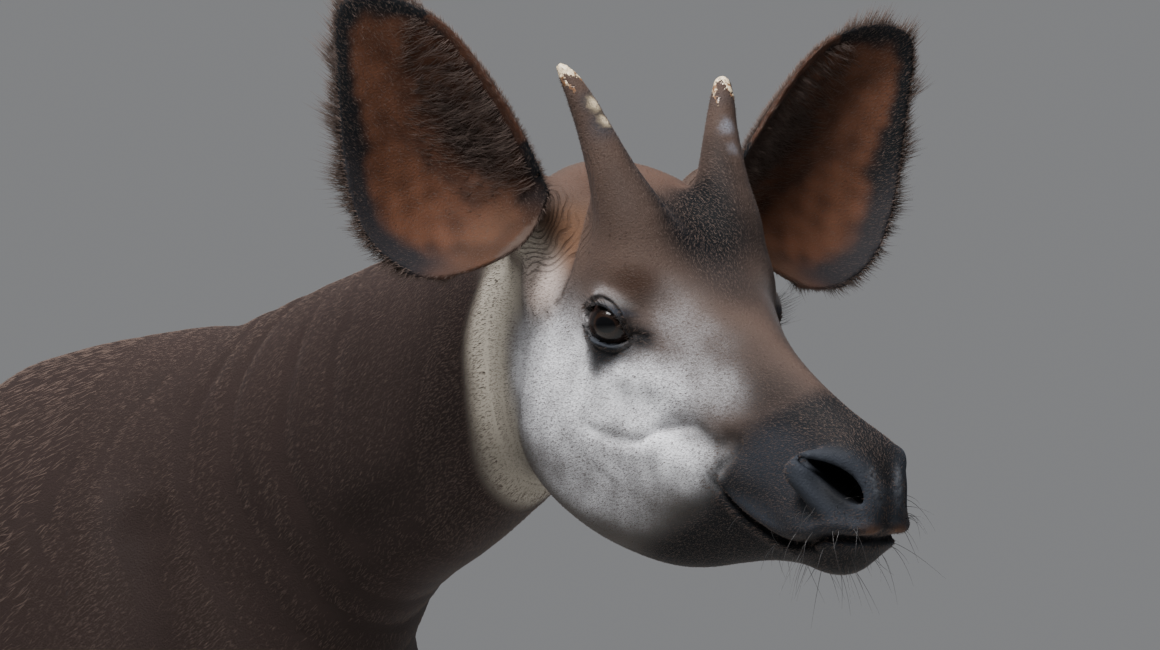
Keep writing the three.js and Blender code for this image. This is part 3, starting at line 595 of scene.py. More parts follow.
class Ear:
    """A thin cup on a star-shaped outline, told in a frame of its own."""

    def __init__(self, side, pose):
        rise, turn = (math.radians(angle) for angle in pose)
        opens = np.array((math.cos(turn), -math.sin(turn), 0))
        outward = np.array((-math.sin(turn), -math.cos(turn), 0))
        along = outward * math.cos(rise) + np.array((0, 0, math.sin(rise)))
        across = np.cross(opens, along)
        self.axes = np.column_stack((along, across, opens))
        self.side = side
        self.level = rotation(0, 0, HEAD_TURN[2])
        root = np.array((EAR_ROOT[0], -side * EAR_ROOT[1], EAR_ROOT[2])) * MM
        self.root = from_head(root)
        self.wall = EAR_WALL * MM
        edge = smooth_rows([*EAR_EDGE, EAR_EDGE[0]], 8)[:-1] - np.array(EAR_MIDDLE)
        angles = np.arctan2(edge[:, 1], edge[:, 0])
        order = np.argsort(angles)
        self.angles, self.edge = angles[order], np.hypot(*edge.T)[order] * MM

    def local(self, points):
        """Along the ear, across it and out of its cup."""
        level = (points - self.root) @ self.level
        if self.side > 0:
            level = level * np.array((1, -1, 1))
        return level @ self.axes

    def world(self, local):
        """Points of the ear's own frame, told in the animal's."""
        level = local @ self.axes.T
        if self.side > 0:
            level = level * np.array((1, -1, 1))
        return level @ self.level.T + self.root

    def outline(self, local):
        """The share of the way out to the edge, and how far away the edge is."""
        u, w = local[:, 0] - EAR_MIDDLE[0] * MM, local[:, 1] - EAR_MIDDLE[1] * MM
        edge = np.interp(np.arctan2(w, u), self.angles, self.edge, period=2 * math.pi)
        return np.hypot(u, w) / edge, edge

    def hollow(self, share, along):
        """How high the ear's sheet lies out of its cup, that share of the way to its edge."""
        length = EAR_LENGTH * MM
        toward_root = 1 - 0.5 * np.clip(along / length, 0, 1)
        curl = EAR_CURL * MM * share**4 * np.cos(along / length * math.pi)
        return curl - EAR_DEPTH * MM * toward_root * (1 - share**CUP_CURVE)

    def __call__(self, points):
        out = np.full(len(points), FAR)
        middle, radius = EAR_SPHERE
        near = np.linalg.norm(points - self.world(np.array([middle])), axis=1) < radius
        if not near.any():
            return out
        local = self.local(points[near])
        share, edge = self.outline(local)
        within = np.minimum(share, 1)
        height = local[:, 2] - self.hollow(within, local[:, 0])
        slope = CUP_CURVE * EAR_DEPTH * MM * within ** (CUP_CURVE - 1) / edge
        flat = np.abs(height) / np.sqrt(1 + slope**2)
        past = np.maximum(share - 1, 0) * edge
        out[near] = np.where(past > 0, np.hypot(height, past), flat) - self.wall / 2
        return out


def ellipsoid(points, middle, radii):
    radii = np.array(radii) * MM
    away = (points - np.array(middle) * MM) / radii
    size = np.linalg.norm(away, axis=1)
    slope = np.linalg.norm(away / radii, axis=1) + TINY
    return size * (size - 1) / slope


def ossicone_rows(side):
    """One ossicone's rows; the right one leans further towards its tip."""
    rows = []
    for i, (x, y, z, *radii) in enumerate(OSSICONE):
        share = (i / (len(OSSICONE) - 1)) ** 2 if side < 0 else 0
        back, out, up = (value * share for value in OSSICONE_LEAN)
        rows.append((x + back, -side * (y + out), z + up, *radii))
    return rows


def leg_rows(name):
    rows = FORELEG if name.startswith("fore") else HINDLEG
    side = 1 if name.endswith("left") else -1
    top = rows[0][2]
    out = []
    for x, y, z, *reach in rows:
        lean = min(1, (top - z) / (top * STRIDE_HEIGHT))
        out.append((x + STRIDE[name] * lean, side * y, z, *reach))
    return out


HEAD_REACH = (0.36, 0.34, 0.36)  # how far the head reaches back, sideways and up or down from the eyes


class Okapi:
    """The whole animal as distances from its skin, negative inside."""

    def __init__(self):
        self.trunk = Flank(TRUNK, TRUNK_FORMS)
        self.head = Flank(HEAD, HEAD_FORMS)
        self.neck = Limb(NECK, (0, 0, 1), 4)
        self.legs = {name: Limb(leg_rows(name), (1, 0, 0)) for name in STRIDE}
        self.tail = Limb(TAIL, (1, 0, 0))
        self.ossicones = {side: Limb(ossicone_rows(side)[:-1], (1, 0, 0), 4) for side in (-1, 1)}
        self.ears = {side: Ear(side, EAR_POSE[name]) for side, name in ((-1, "right"), (1, "left"))}

    def body(self, points, thicker=0.0):
        """Trunk, neck, legs and tail; the tail may be thickened for the first rough skin."""
        out = soft_min(self.trunk(points), self.neck(points), FILLET["neck"])
        for leg in self.legs.values():
            cut = soft_max(leg(points), FOOT_END * MM - points[:, 2], FILLET["foot"])
            out = soft_min(out, cut, FILLET["leg"])
        return soft_min(out, self.tail(points) - thicker * 3, FILLET["tail"])

    def face(self, points, thicker=0.0):
        """Head, ossicones and ears; the ears may be thickened for the first rough skin."""
        settings = bpy.context.scene.okapi_skin
        place = to_head(points)
        out = self.head(place) + coat_depth(points)
        for side, horn in self.ossicones.items():
            out = soft_min(out, horn(place), FILLET["ossicone"])
            ear = self.ears[side]
            stalk = ellipsoid(ear.local(points), *EAR_STALK) + settings.face_coat
            shell = soft_min(ear(points) - thicker, stalk, FILLET["stalk"])
            out = soft_min(out, shell, FILLET["ear"])
        return carve_face(out - fold_height(HEAD_FOLDS, place), folded(place))

    def __call__(self, points, thicker=0.0):
        place = to_head(points)
        behind, aside, above = HEAD_REACH
        near = (place[:, 0] > -behind) & (np.abs(place[:, 1]) < aside) & (np.abs(place[:, 2]) < above)
        out = self.body(points, thicker) + coat_depth(points) - fold_height(NECK_FOLDS, points)
        if near.any():
            head = np.full(len(points), FAR)
            head[near] = self.face(points[near], thicker)
            out = soft_min(out, head, FILLET["head"])
        return out


WRINKLE_MIDDLE = (EAR_ROOT[0] - 6, -EAR_ROOT[1] + 16, EAR_ROOT[2] + 6)  # of the left ear's fine folds


def ear_wrinkles(place):
    """The fine folds round the root of each ear: how many lie nearer to it, and how deep they are here."""
    aside = folded(place)
    away = np.linalg.norm(aside - np.array(WRINKLE_MIDDLE) * MM, axis=1)
    depth = step_between(0.028, 0.040, away) * step_between(0.082, 0.056, away)
    depth = depth * step_between(0.115, 0.100, aside[:, 1]) * step_between(0.058, 0.076, aside[:, 1])
    depth = depth * (0.65 + 0.35 * ripple(place, 18, 14))
    gap = bpy.context.scene.okapi_skin.wrinkle_gap
    return away / gap + 0.6 * ripple(place, 30, 12), np.clip(depth, 0, 1)


@functools.cache
def okapi():
    """The animal's forms, worked out once for all pieces."""
    return Okapi()


def coat_depth(points):
    """How far the skin lies under the tips of the coat: least on the face and the feet."""
    face = step_between(-0.3, -0.12, to_head(points)[:, 0])
    feet = step_between(0.75, 0.35, points[:, 2])
    settings = bpy.context.scene.okapi_skin
    return settings.body_coat + (settings.face_coat - settings.body_coat) * np.maximum(face, feet)


# The face

EYE_MIDDLE = np.array((EYE[0], -EYE[1], EYE[2])) * MM
LOOK = math.radians(EYE_LOOK[0])
EYE_OUT = unit(np.array((math.sin(LOOK), math.cos(LOOK), math.tan(math.radians(EYE_LOOK[1])))))
EYE_SIDE = unit(np.cross(EYE_OUT, (0, 0, 1)))  # towards the nose
EYE_UP = np.cross(EYE_SIDE, EYE_OUT)
LID = 2.6  # thickness of a lid over the eyeball
LID_HALF = (23, 16)  # half the opening's width and height
LID_SHIFT = (0.0026, 0.0030)  # of the opening's middle, away from the nose and down
LOWER_LID = 0.78  # depth of the lower lid's curve, as a share of the upper's height
# Lines of skin round the lids: how high or deep, how far out from the lids' edge, and how wide
LID_LINES = {
    "crease": (0.0024, 0.0060, 0.0013),
    "ridge": (0.0024, 0.0100, 0.0028),
    "pouch": (0.0012, 0.0062, 0.0016),
    "rim": (0.0012, 0.0022, 0.0018),
}
SOCKET = (0.0205, 0.0022)  # radius behind the eyeball, and the fillet of its edge
TEAR_GROOVE = {"from": 0.021, "to": 0.038, "below": 0.002, "depth": 0.0022, "width": 0.0028}
NOSTRIL_MIDDLE = np.array(NOSTRIL["middle"]) * (1, -1, 1) * MM
NOSTRIL_OUT = unit(np.array(NOSTRIL["outward"]) * (1, -1, 1))
NOSTRIL_ALONG = np.array(NOSTRIL["along"]) * (1, -1, 1)
NOSTRIL_ALONG = unit(NOSTRIL_ALONG - NOSTRIL_OUT * (NOSTRIL_ALONG @ NOSTRIL_OUT))
NOSTRIL_SWING = 0.004  # how far the slit's two ends curve up
NOSTRIL_HALF = 0.031
# Rim and hollow of the nostril: half height where it is narrow, what is added where it is open
NOSTRIL_RIM = (0.0165, 0.0045)
NOSTRIL_SLIT = (0.0062, 0.0048)
NOSTRIL_DEPTH = 0.034
MOUTH_LINE = smooth_rows(MOUTH, 6) * MM
# Swellings of the upper and the lower lip: height above the mouth's line, width, how far they stand out
LIPS = [(0.0085, 0.0055, 0.0028), (-0.008, 0.005, 0.0018)]


def eye_place(points):
    """Towards the nose, up and out from the middle of the eyeball."""
    away = points - EYE_MIDDLE
    return away @ EYE_SIDE, away @ EYE_UP, away @ EYE_OUT


def lid_edge(across, up):
    """Signed distance from the almond between the lids, told on the eye's own face."""
    half, high = (value * MM for value in LID_HALF)
    across, up = across + LID_SHIFT[0], up + LID_SHIFT[1]
    x = np.clip(across / half, -1.15, 1.25)
    upper = high * np.clip(1 - np.abs(x + 0.08) ** 2.3, -1, 1) - 0.15 * high * x
    lower = -high * LOWER_LID * np.clip(1 - np.abs(x) ** 2.2, -1, 1) - 0.3 * high * np.clip(x, 0, 2)
    return np.maximum(up - upper, lower - up)


def nostril_place(place):
    """Along the nostril, out of it, up from its curved middle, how open it is, and 1 on its rim's crest."""
    away = place - NOSTRIL_MIDDLE
    u = away @ NOSTRIL_ALONG
    open_share = step_between(-0.026, 0.02, u)
    lean = away @ np.cross(NOSTRIL_OUT, NOSTRIL_ALONG) - NOSTRIL_SWING * (u / 0.03) ** 2
    narrow, more = NOSTRIL_RIM
    ring = np.sqrt(((u - 0.005) / NOSTRIL_HALF) ** 2 + ((lean - 0.001) / (narrow + more * open_share)) ** 2)
    return u, away @ NOSTRIL_OUT, lean, open_share, ring


def above_mouth(place):
    """How far points of the head lie above the line of the mouth."""
    return place[:, 2] - np.interp(place[:, 0], MOUTH_LINE[:, 0], MOUTH_LINE[:, 1])


def carve_eye(out, place):
    """Lids and the socket, the lines of skin round them and the groove where tears run."""
    across, up, ahead = eye_place(place)
    away = np.linalg.norm(place - EYE_MIDDLE, axis=1)
    out = soft_min(out, away - (EYE_RADIUS + LID) * MM, FILLET["eye"])
    edge = lid_edge(across, up)
    above = step_between(-0.004, 0.006, up)
    front = step_between(0.0, 0.012, ahead)

    def line(name, share):
        height, middle, width = LID_LINES[name]
        return height * bell(edge, middle, width) * share * front

    out = out + line("crease", above) + line("pouch", 1 - above) - line("ridge", above) - line("rim", 1)
    groove = TEAR_GROOVE
    corner = np.hypot(np.clip(across, groove["from"], groove["to"]) - across, up + groove["below"])
    out = out + groove["depth"] * bell(corner, 0, groove["width"]) * front
    radius, fillet = SOCKET
    opening = np.maximum(edge, np.maximum(radius - away, -ahead))
    return soft_max(out, -opening, fillet)


def carve_nostril(out, place):
    """The nostril's raised rim and its curved hollow."""
    u, w, lean, open_share, ring = nostril_place(place)
    rim = np.hypot((ring - 1) * 0.019, w - 0.0015) - 0.0066 - 0.0022 * np.clip(lean / 0.016, 0, 1)
    out = soft_min(out, rim, 0.008)
    narrow, more = NOSTRIL_SLIT
    tall = narrow + more * open_share
    size = np.sqrt((u / NOSTRIL_HALF) ** 2 + ((lean + 0.003) / tall) ** 2 + (w / NOSTRIL_DEPTH) ** 2)
    return soft_max(out, -(size - 1) * 0.011, 0.0035)


def carve_face(out, place):
    """Lids, nostrils and the groove of the mouth between its lips, on a head told with its sides folded."""
    out = carve_nostril(carve_eye(out, place), place)
    above = above_mouth(place)
    lips = sum(height * bell(above, middle, width) for middle, width, height in LIPS)
    settings = bpy.context.scene.okapi_skin
    wide = settings.mouth_width * (1 + 0.7 * step_between(0.15, 0.112, place[:, 0]))
    begun = step_between(0.102, 0.124, place[:, 0])
    return out + begun * (settings.mouth_depth * bell(above, 0, wide) - lips)


# Skin

BLOCK = 4  # the coarse grid's step, in steps of the fine one
ROUGH = 0.0026  # how much thicker the ears are while the net is drawn, so that it can't miss their sheet
# Corners of the two nets, from the eyes' middle along the head's axes, and in the animal's own frame
HEAD_NET = ((-0.48, -0.34, -0.28), (0.3, 0.34, 0.34))
BODY_NET = ((-0.85, -0.34, 0), (0.98, 0.34, 1.76))


def near_nodes(shape, field, places, size):
    """A field's values on a fine grid, worked out only where the skin may be."""
    cells = [(n - 1) // BLOCK for n in shape]
    coarse = np.stack(np.meshgrid(*[np.arange(n + 1) * BLOCK for n in cells], indexing="ij"), -1)
    rough = field(places(coarse.reshape(-1, 3))).reshape(coarse.shape[:-1])
    least = np.abs(rough)
    for axis in range(3):
        head = [slice(None)] * 3
        tail = [slice(None)] * 3
        head[axis], tail[axis] = slice(0, -1), slice(1, None)
        least = np.minimum(least[tuple(head)], least[tuple(tail)])
    close = least < BLOCK * size * 1.3
    near = np.zeros(shape, bool)
    blocks = close.repeat(BLOCK, 0).repeat(BLOCK, 1).repeat(BLOCK, 2)
    for shift in np.ndindex(2, 2, 2):
        window = tuple(slice(s, s + n) for s, n in zip(shift, blocks.shape))
        near[window] |= blocks
    index = [np.minimum(np.arange(n) // BLOCK, c) for n, c in zip(shape, cells)]
    values = rough[np.ix_(*index)].copy()
    nodes = np.argwhere(near)
    values[near] = field(places(nodes))
    return values


def skin_net(field, low, high, size, axes, zero):
    """A net of four-sided faces drawn where the field is nought, on a grid along the given axes."""
    low = np.array(low, float)
    shape = [math.ceil((end - start) / size / BLOCK) * BLOCK + 1 for start, end in zip(low, high)]

    def places(nodes):
        return (low + nodes * size) @ axes.T + zero

    values = near_nodes(shape, field, places, size)
    inside = values < 0
    corners = list(np.ndindex(2, 2, 2))
    windows = [tuple(slice(s, s + n - 1) for s, n in zip(corner, shape)) for corner in corners]
    count = sum(inside[window].astype(np.int8) for window in windows)
    active = (count > 0) & (count < 8)
    cells = np.argwhere(active)
    number = np.full(active.shape, -1)
    number[active] = np.arange(len(cells))
    at = np.stack([values[tuple((cells + c).T)] for c in corners], 1)
    total, hits = np.zeros((len(cells), 3)), np.zeros(len(cells))
    for a, b in [(a, a + bit) for a in range(8) for bit in (1, 2, 4) if not a & bit]:
        crossed = (at[:, a] < 0) != (at[:, b] < 0)
        share = at[crossed, a] / (at[crossed, a] - at[crossed, b])
        start, end = np.array(corners[a]), np.array(corners[b])
        total[crossed] += start + share[:, None] * (end - start)
        hits[crossed] += 1
    points = places(cells + total / hits[:, None])
    faces = []
    for axis in range(3):
        one, two = [d for d in range(3) if d != axis]
        step = np.zeros(3, int)
        step[axis] = 1
        here = inside[tuple(slice(0, n - s) for n, s in zip(shape, step))]
        there = inside[tuple(slice(s, n) for n, s in zip(shape, step))]
        edges = np.argwhere(here != there)
        edges = edges[(edges[:, one] > 0) & (edges[:, two] > 0)]
        edges = edges[(edges[:, one] < shape[one] - 1) & (edges[:, two] < shape[two] - 1)]
        ring = []
        for a, b in ((1, 1), (0, 1), (0, 0), (1, 0)):
            cell = edges.copy()
            cell[:, one] -= a
            cell[:, two] -= b
            ring.append(number[tuple(cell.T)])
        quads = np.stack(ring, 1)
        outward = here[tuple(edges.T)]
        if axis == 1:
            outward = ~outward
        quads[~outward] = quads[~outward][:, ::-1]
        faces.append(quads)
    return points, np.concatenate(faces)


LEAST_SLOPE = 0.15  # where a field is flatter than this, points move less than they would


def settle(field, points, reach, rounds):
    """Moves points onto the place where the field is nought, by no more than a reach in each round."""
    step = reach * 0.25
    for _ in range(rounds):
        value = field(points)
        slope = np.stack([(field(points + way) - value) / step for way in np.eye(3) * step], 1)
        steep = np.maximum((slope**2).sum(1), LEAST_SLOPE)
        points = points - slope * (np.clip(value, -reach, reach) / steep)[:, None]
    return points


def mesh_points(mesh):
    """The places of a finished mesh's points."""
    points = np.zeros(len(mesh.vertices) * 3)
    mesh.vertices.foreach_get("co", points)
    return points.reshape(-1, 3)


def eased(bm):
    """The places of a mesh's points, each moved half the way to the mean of its neighbours."""
    points = positions(bm)
    edges = np.array([(e.verts[0].index, e.verts[1].index) for e in bm.edges])
    count = np.zeros(len(points))
    np.add.at(count, edges.ravel(), 1)
    total = np.zeros_like(points)
    np.add.at(total, edges[:, 0], points[edges[:, 1]])
    np.add.at(total, edges[:, 1], points[edges[:, 0]])
    return points + 0.5 * (total / np.maximum(count, 1)[:, None] - points)


def net_mesh(points, faces):
    """A bmesh of a net, with its loose scraps left out."""
    mesh = bpy.data.meshes.new("net")
    mesh.from_pydata(points.tolist(), [], faces.tolist())
    bm = bmesh.new()
    bm.from_mesh(mesh)
    bpy.data.meshes.remove(mesh)
    bm.normal_update()
    part_touching(bm)
    return bm


TWIN_SHIFT = 0.2  # of the way to its faces' middle, where a shared corner is doubled


def part_touching(bm):
    """Gives two sheets of skin that touch along an edge an edge each."""
    crowded = [e for e in bm.edges if len(e.link_faces) == 4]
    partners = {}
    for edge in crowded:
        middle = (edge.verts[0].co + edge.verts[1].co) / 2
        axis = (edge.verts[1].co - edge.verts[0].co).normalized()
        across = axis.orthogonal().normalized()
        up = axis.cross(across)
        ring = []
        for face in edge.link_faces:
            away = face.calc_center_median() - middle
            ring.append((math.atan2(away.dot(up), away.dot(across)), face.index, face))
        (a, _, one), (b, _, two), (c, _, three), (d, _, four) = sorted(ring)
        flatter = (b - a) + (d - c) > math.pi
        partners[edge] = [(one, two), (three, four)] if flatter else [(two, three), (four, one)]
    swaps = {}
    for vertex in sorted({v for e in crowded for v in e.verts}, key=lambda v: v.index):
        group = {face: face for face in vertex.link_faces}

        def head_of(face):
            while group[face] is not face:
                face = group[face]
            return face

        for edge in vertex.link_edges:
            pairs = partners.get(edge, [tuple(edge.link_faces)])
            for pair in pairs:
                if len(pair) == 2:
                    group[head_of(pair[0])] = head_of(pair[1])
        fans = {}
        for face in vertex.link_faces:
            fans.setdefault(head_of(face), []).append(face)
        for number, fan in enumerate(fans.values()):
            middle = sum((f.calc_center_median() for f in fan), Vector()) / len(fan)
            if number:
                twin = bm.verts.new(vertex.co + (middle - vertex.co) * TWIN_SHIFT)
                for face in fan:
                    swaps.setdefault(face, {})[vertex] = twin
    for face, swap in swaps.items():
        bm.faces.new([swap.get(v, v) for v in face.verts])
    bmesh.ops.delete(bm, geom=list(swaps), context="FACES_ONLY")
    bmesh.ops.delete(bm, geom=[e for e in bm.edges if not e.link_faces], context="EDGES")
    bm.verts.index_update()


def positions(bm):
    """The places of a bmesh's points, in their order."""
    return np.array([v.co for v in bm.verts]).reshape(-1, 3)


def place_all(bm, points):
    for vertex, point in zip(bm.verts, points):
        vertex.co = point


def cut_back(bm, point, normal):
    """Drops all that lies beyond a plane."""
    every = bm.verts[:] + bm.edges[:] + bm.faces[:]
    bmesh.ops.bisect_plane(bm, geom=every, plane_co=Vector(point), plane_no=Vector(normal), clear_outer=True)


def largest_piece(bm):
    """Drops every piece but the largest."""
    bm.verts.ensure_lookup_table()
    seen, best = set(), []
    for start in bm.verts:
        if start.index in seen:
            continue
        seen.add(start.index)
        piece, front = [start], [start]
        while front:
            grown = []
            for vertex in front:
                for edge in vertex.link_edges:
                    other = edge.other_vert(vertex)
                    if other.index not in seen:
                        seen.add(other.index)
                        grown.append(other)
            piece += grown
            front = grown
        if len(piece) > len(best):
            best = piece
    keep = set(best)
    bmesh.ops.delete(bm, geom=[v for v in bm.verts if v not in keep], context="VERTS")
    bm.verts.index_update()


def refine(bm, wanted):
    """Splits each edge whose two ends are both wanted."""
    bm.verts.ensure_lookup_table()
    marks = wanted(positions(bm))
    edges = [e for e in bm.edges if marks[e.verts[0].index] and marks[e.verts[1].index]]
    bmesh.ops.subdivide_edges(bm, edges=edges, cuts=1, use_grid_fill=True)
    bm.verts.index_update()


def add_to(whole, part):
    """Moves a bmesh's faces into another."""
    mesh = bpy.data.meshes.new("part")
    part.to_mesh(mesh)
    part.free()
    whole.from_mesh(mesh)
    bpy.data.meshes.remove(mesh)


def rim_of(bm):
    """The open edge of a mesh, its vertices in order."""
    links = {}
    for edge in bm.edges:
        if edge.is_boundary:
            for vertex in edge.verts:
                links.setdefault(vertex, []).append(edge.other_vert(vertex))
    start = next(iter(links))
    ring, last, here = [start], start, links[start][0]
    while here is not start:
        ring.append(here)
        last, here = here, next(v for v in links[here] if v is not last)
    return ring


def zip_rims(bm, first, second, axis, middle):
    """Joins two rims that lie round the same axis with a band of triangles."""
    axis = Vector(axis).normalized()
    across = axis.orthogonal().normalized()
    up = axis.cross(across)

    def turned(ring):
        angles = []
        for vertex in ring:
            away = vertex.co - Vector(middle)
            angles.append(math.atan2(away.dot(up), away.dot(across)))
        steps = zip(angles, angles[1:] + angles[:1])
        rising = sum((b - a) % (2 * math.pi) < math.pi for a, b in steps)
        if rising < len(ring) / 2:
            ring, angles = ring[::-1], angles[::-1]
        lowest = min(range(len(ring)), key=lambda i: angles[i])
        ring, angles = ring[lowest:] + ring[:lowest], angles[lowest:] + angles[:lowest]
        for i in range(1, len(angles)):
            angles[i] = max(angles[i], angles[i - 1])
        return ring + ring[:1], angles + [angles[0] + 2 * math.pi]

    (one, at_one), (two, at_two) = turned(first), turned(second)
    i = j = 0
    while i < len(one) - 1 or j < len(two) - 1:
        if j == len(two) - 1 or (i < len(one) - 1 and at_one[i + 1] <= at_two[j + 1]):
            bm.faces.new((one[i], one[i + 1], two[j]))
            i += 1
        else:
            bm.faces.new((one[i], two[j + 1], two[j]))
            j += 1


# Distances from the eye, the nostril and the mouth's line within which the head's net is made finer
FINE = {"eye": 0.036, "lids": 0.034, "eyeball": 0.03, "nostril": 0.045, "mouth": 0.009}


def near_eye(points, reach):
    return np.linalg.norm(folded(to_head(points)) - EYE_MIDDLE - EYE_OUT * 0.02, axis=1) < reach


def near_lid_edge(points):
    across, up, ahead = eye_place(folded(to_head(points)))
    return (np.abs(lid_edge(across, up) - 0.001) < 0.0024) & (ahead > 0) & near_eye(points, FINE["lids"])


def wants_detail(points):
    """Whether points of the head lie by an eye, a nostril, the mouth or a fold."""
    place = to_head(points)
    lips = (np.abs(above_mouth(place)) < FINE["mouth"]) & (place[:, 0] > 0.1)
    nose = np.linalg.norm(folded(place) - NOSTRIL_MIDDLE, axis=1) < FINE["nostril"]
    creased = np.abs(fold_height(HEAD_FOLDS, place)) > 0.0012
    return near_eye(points, FINE["eye"]) | lips | nose | creased


def cut_net(animal, corners, size, axes, zero, point, normal):
    """A settled net of the skin on one side of a plane."""

    def rough(points):
        return animal(points, ROUGH)

    bm = net_mesh(*skin_net(rough, *corners, size, axes, zero))
    cut_back(bm, point, normal)
    largest_piece(bm)
    place_all(bm, settle(animal, eased(bm), size, 2))
    return bm


def make_skin(animal):
    """The skin as one closed mesh: a fine head with its ears and a broader body, joined round the neck."""
    settings = bpy.context.scene.okapi_skin
    head_step, body_step = settings.head_step, settings.body_step
    point, normal = np.array(SPLICE[0]) * MM, unit(np.array(SPLICE[1]))
    shift = normal * SPLICE_GAP / 2
    eyes = np.array(EYES) * MM

    head = cut_net(animal, HEAD_NET, head_step, HEAD_AXES, eyes, point + shift, -normal)
    stages = [(wants_detail, 2, 2), (lambda at: near_eye(at, FINE["eyeball"]), 3, 3), (near_lid_edge, 4, 3)]
    for wanted, finer, rounds in stages:
        refine(head, wanted)
        place_all(head, settle(animal, positions(head), head_step / finer, rounds))

    body = cut_net(animal, BODY_NET, body_step, np.eye(3), np.zeros(3), point - shift, normal)
    refine(body, lambda at: ((at - point) @ normal > -0.34) | (at[:, 2] < 0.62))
    place_all(body, settle(animal, positions(body), body_step / 2, 2))
    refine(body, lambda at: np.abs(fold_height(NECK_FOLDS, at)) > 0.001)
    place_all(body, settle(animal, positions(body), body_step / 4, 2))

    head_rim = [v.index for v in rim_of(head)]
    first = len(body.verts)
    body_rim = rim_of(body)
    add_to(body, head)
    body.verts.ensure_lookup_table()
    zip_rims(body, body_rim, [body.verts[first + i] for i in head_rim], normal, point)
    bmesh.ops.recalc_face_normals(body, faces=body.faces[:])
    body.verts.index_update()
    return body


# Markings

# Soft patches on the head, its sides folded together: middle, reach three ways, strength
PALE_PATCHES = [
    ((22, 68, -50), (56, 40, 31), 1.0),
    ((-46, 82, -66), (58, 40, 52), 0.8),
    # pale hair, made brightest here as a painted highlight on the lower cheek's swelling
    ((66, 50, -90), (54, 30, 26), 1.0),
    ((0, 66, -108), (62, 40, 32), 0.5),
    ((-88, 84, -70), (40, 30, 60), 0.7),
    ((-20, 60, -150), (60, 40, 20), 0.4),
    ((46, 52, 32), (30, 20, 18), 0.06),
    # painted highlight above the upper lid
    ((-14, 84, 22), (20, 20, 5), 0.08),
    ((84, 42, -26), (40, 26, 20), 0.3),
    ((60, 48, 8), (40, 24, 16), 0.12),
]
CREAM_PATCHES = [
    ((-156, 80, -4), (34, 30, 20), 0.9),
    ((-112, 92, 30), (20, 22, 18), 0.7),
]
POLL_RUST = [((-102, 30, 92), (46, 52, 22), 0.35)]
TEMPLE_TAN = [((-90, 74, 54), (18, 22, 24), 0.75), ((-80, 74, 34), (14, 16, 20), 0.5)]
LIP_TAN = [((276, 13, -87), (9, 9, 5), 0.8)]
# Black fur of the face, and painted shade in its creases, pockets and folds and under the jaw
BLACK_AND_SHADE_PATCHES = [
    ((-10, 2, 72), (44, 40, 28), 1.0),
    ((-44, 22, 90), (32, 26, 26), 1.0),
    ((-62, 44, 120), (22, 10, 40), 0.6),
    ((34, 0, 48), (54, 34, 24), 0.75),
    # painted shade in the crease of the pale swelling behind the eye
    ((-100, 84, -22), (8, 8, 6), 0.3),
    # painted shade in the pocket between cheek and muzzle, in the lip's fold and at the cheek groove's end
    # (this and the next two)
    ((136, 42, -66), (14, 12, 11), 0.95),
    ((118, 43, -88), (9, 12, 16), 0.8),
    ((104, 44, -66), (24, 12, 6), 0.6),
    ((100, 26, 4), (50, 24, 20), 0.3),
    ((156, 32, -16), (44, 34, 26), 0.7),
    # painted shade in the pocket below the mouth's corner
    ((112, 36, -116), (26, 20, 12), 0.8),
    # painted shadow under the jaw
    ((70, 36, -150), (60, 30, 16), 0.25),
    # painted shade along the cheek's groove
    ((64, 54, -69), (34, 12, 5), 0.3),
    ((-96, 96, 78), (16, 22, 14), 0.5),
]
# The darkest fur, between the horns and at their roots
SADDLE = [
    ((-10, 2, 72), (40, 34, 26), 0.9),
    ((-44, 22, 90), (30, 24, 24), 0.9),
    ((-38, 60, 92), (26, 26, 34), 0.3),
]
# Torn skin on the horns, each on its own side
HORN_SLOTS = [((-77, -61, 146), (3.4, 5, 8.5), 1.0), ((-86, -66, 160), (5, 6, 7), 1.0)]
SLOT_EDGE = [((-77, -61, 146), (5.2, 7, 11), 0.9), ((-86, -66, 158), (8, 8, 9), 0.9)]
HORN_SCARS = [
    ((-75, -64, 146), (11, 12, 18), 0.8),
    ((-88, -70, 160), (9, 9, 8), 0.8),
    ((-94, 66, 158), (9, 9, 8), 0.8),
]
LEFT_SOOT = [((-20, 40, 62), (34, 26, 34), 0.85), ((-50, 46, 96), (20, 14, 26), 0.6)]
HORN_SHEEN = [((-72, 58, 142), (5, 6, 20), 0.7), ((-58, 57, 128), (4, 5, 16), 0.4)]
# Patches by the eye, told towards the nose and up from its middle
EYE_SOOT = [
    ((2, -20), (26, 11), 1.0),
    ((-5, -30), (17, 10), 0.95),
    ((-9, -39), (9, 9), 0.85),
    ((32, -4), (14, 10), 1.0),
    ((-33, 4), (12, 9), 1.0),
    ((-2, -4), (27, 18), 1.0),
    ((0, 6), (22, 14), 0.9),
]
LID_RIDGE = [((2, 19), (17, 4), 0.75)]
BROW = [((8, 68, 38), (25, 18, 13), 0.9)]
BUMP = [((-96, 88, 3), (22, 20, 27), 1.0)]
MUZZLE_SHEEN = [
    ((170, 40, -106), (40, 20, 12), 0.95),
    ((236, 26, -96), (40, 30, 10), 0.8),
    ((180, 44, -58), (60, 26, 30), 0.55),
    ((284, 12, -60), (12, 18, 26), 0.5),
]
LID_SHEEN = [((2, 13), (20, 3.5), 0.8), ((0, -15), (22, 3), 0.7), ((4, -30), (16, 8), 0.35)]
# The rear edge of the brow's ridge, where it overlaps the temple; painted shade lies along it as a dark line
TEMPLE_LINE = [(-80, 60, 88), (-77, 68, 66), (-70, 75, 46), (-65, 80, 28), (-67, 83, 12), (-72, 84, -2)]
# Painted highlight: the wet shine on the septum between the nostrils
SEPTUM_HIGHLIGHT = [((270, 12, -46), (9, 5, 12), 0.32), ((275, 10, -58), (8, 5, 9), 0.28)]
# The black muzzle begins this far forward at each height
MUZZLE_EDGE = [(-200, -60), (-190, 5), (-160, 46), (-130, 84), (-90, 110), (-60, 130), (-25, 150), (0, 176)]
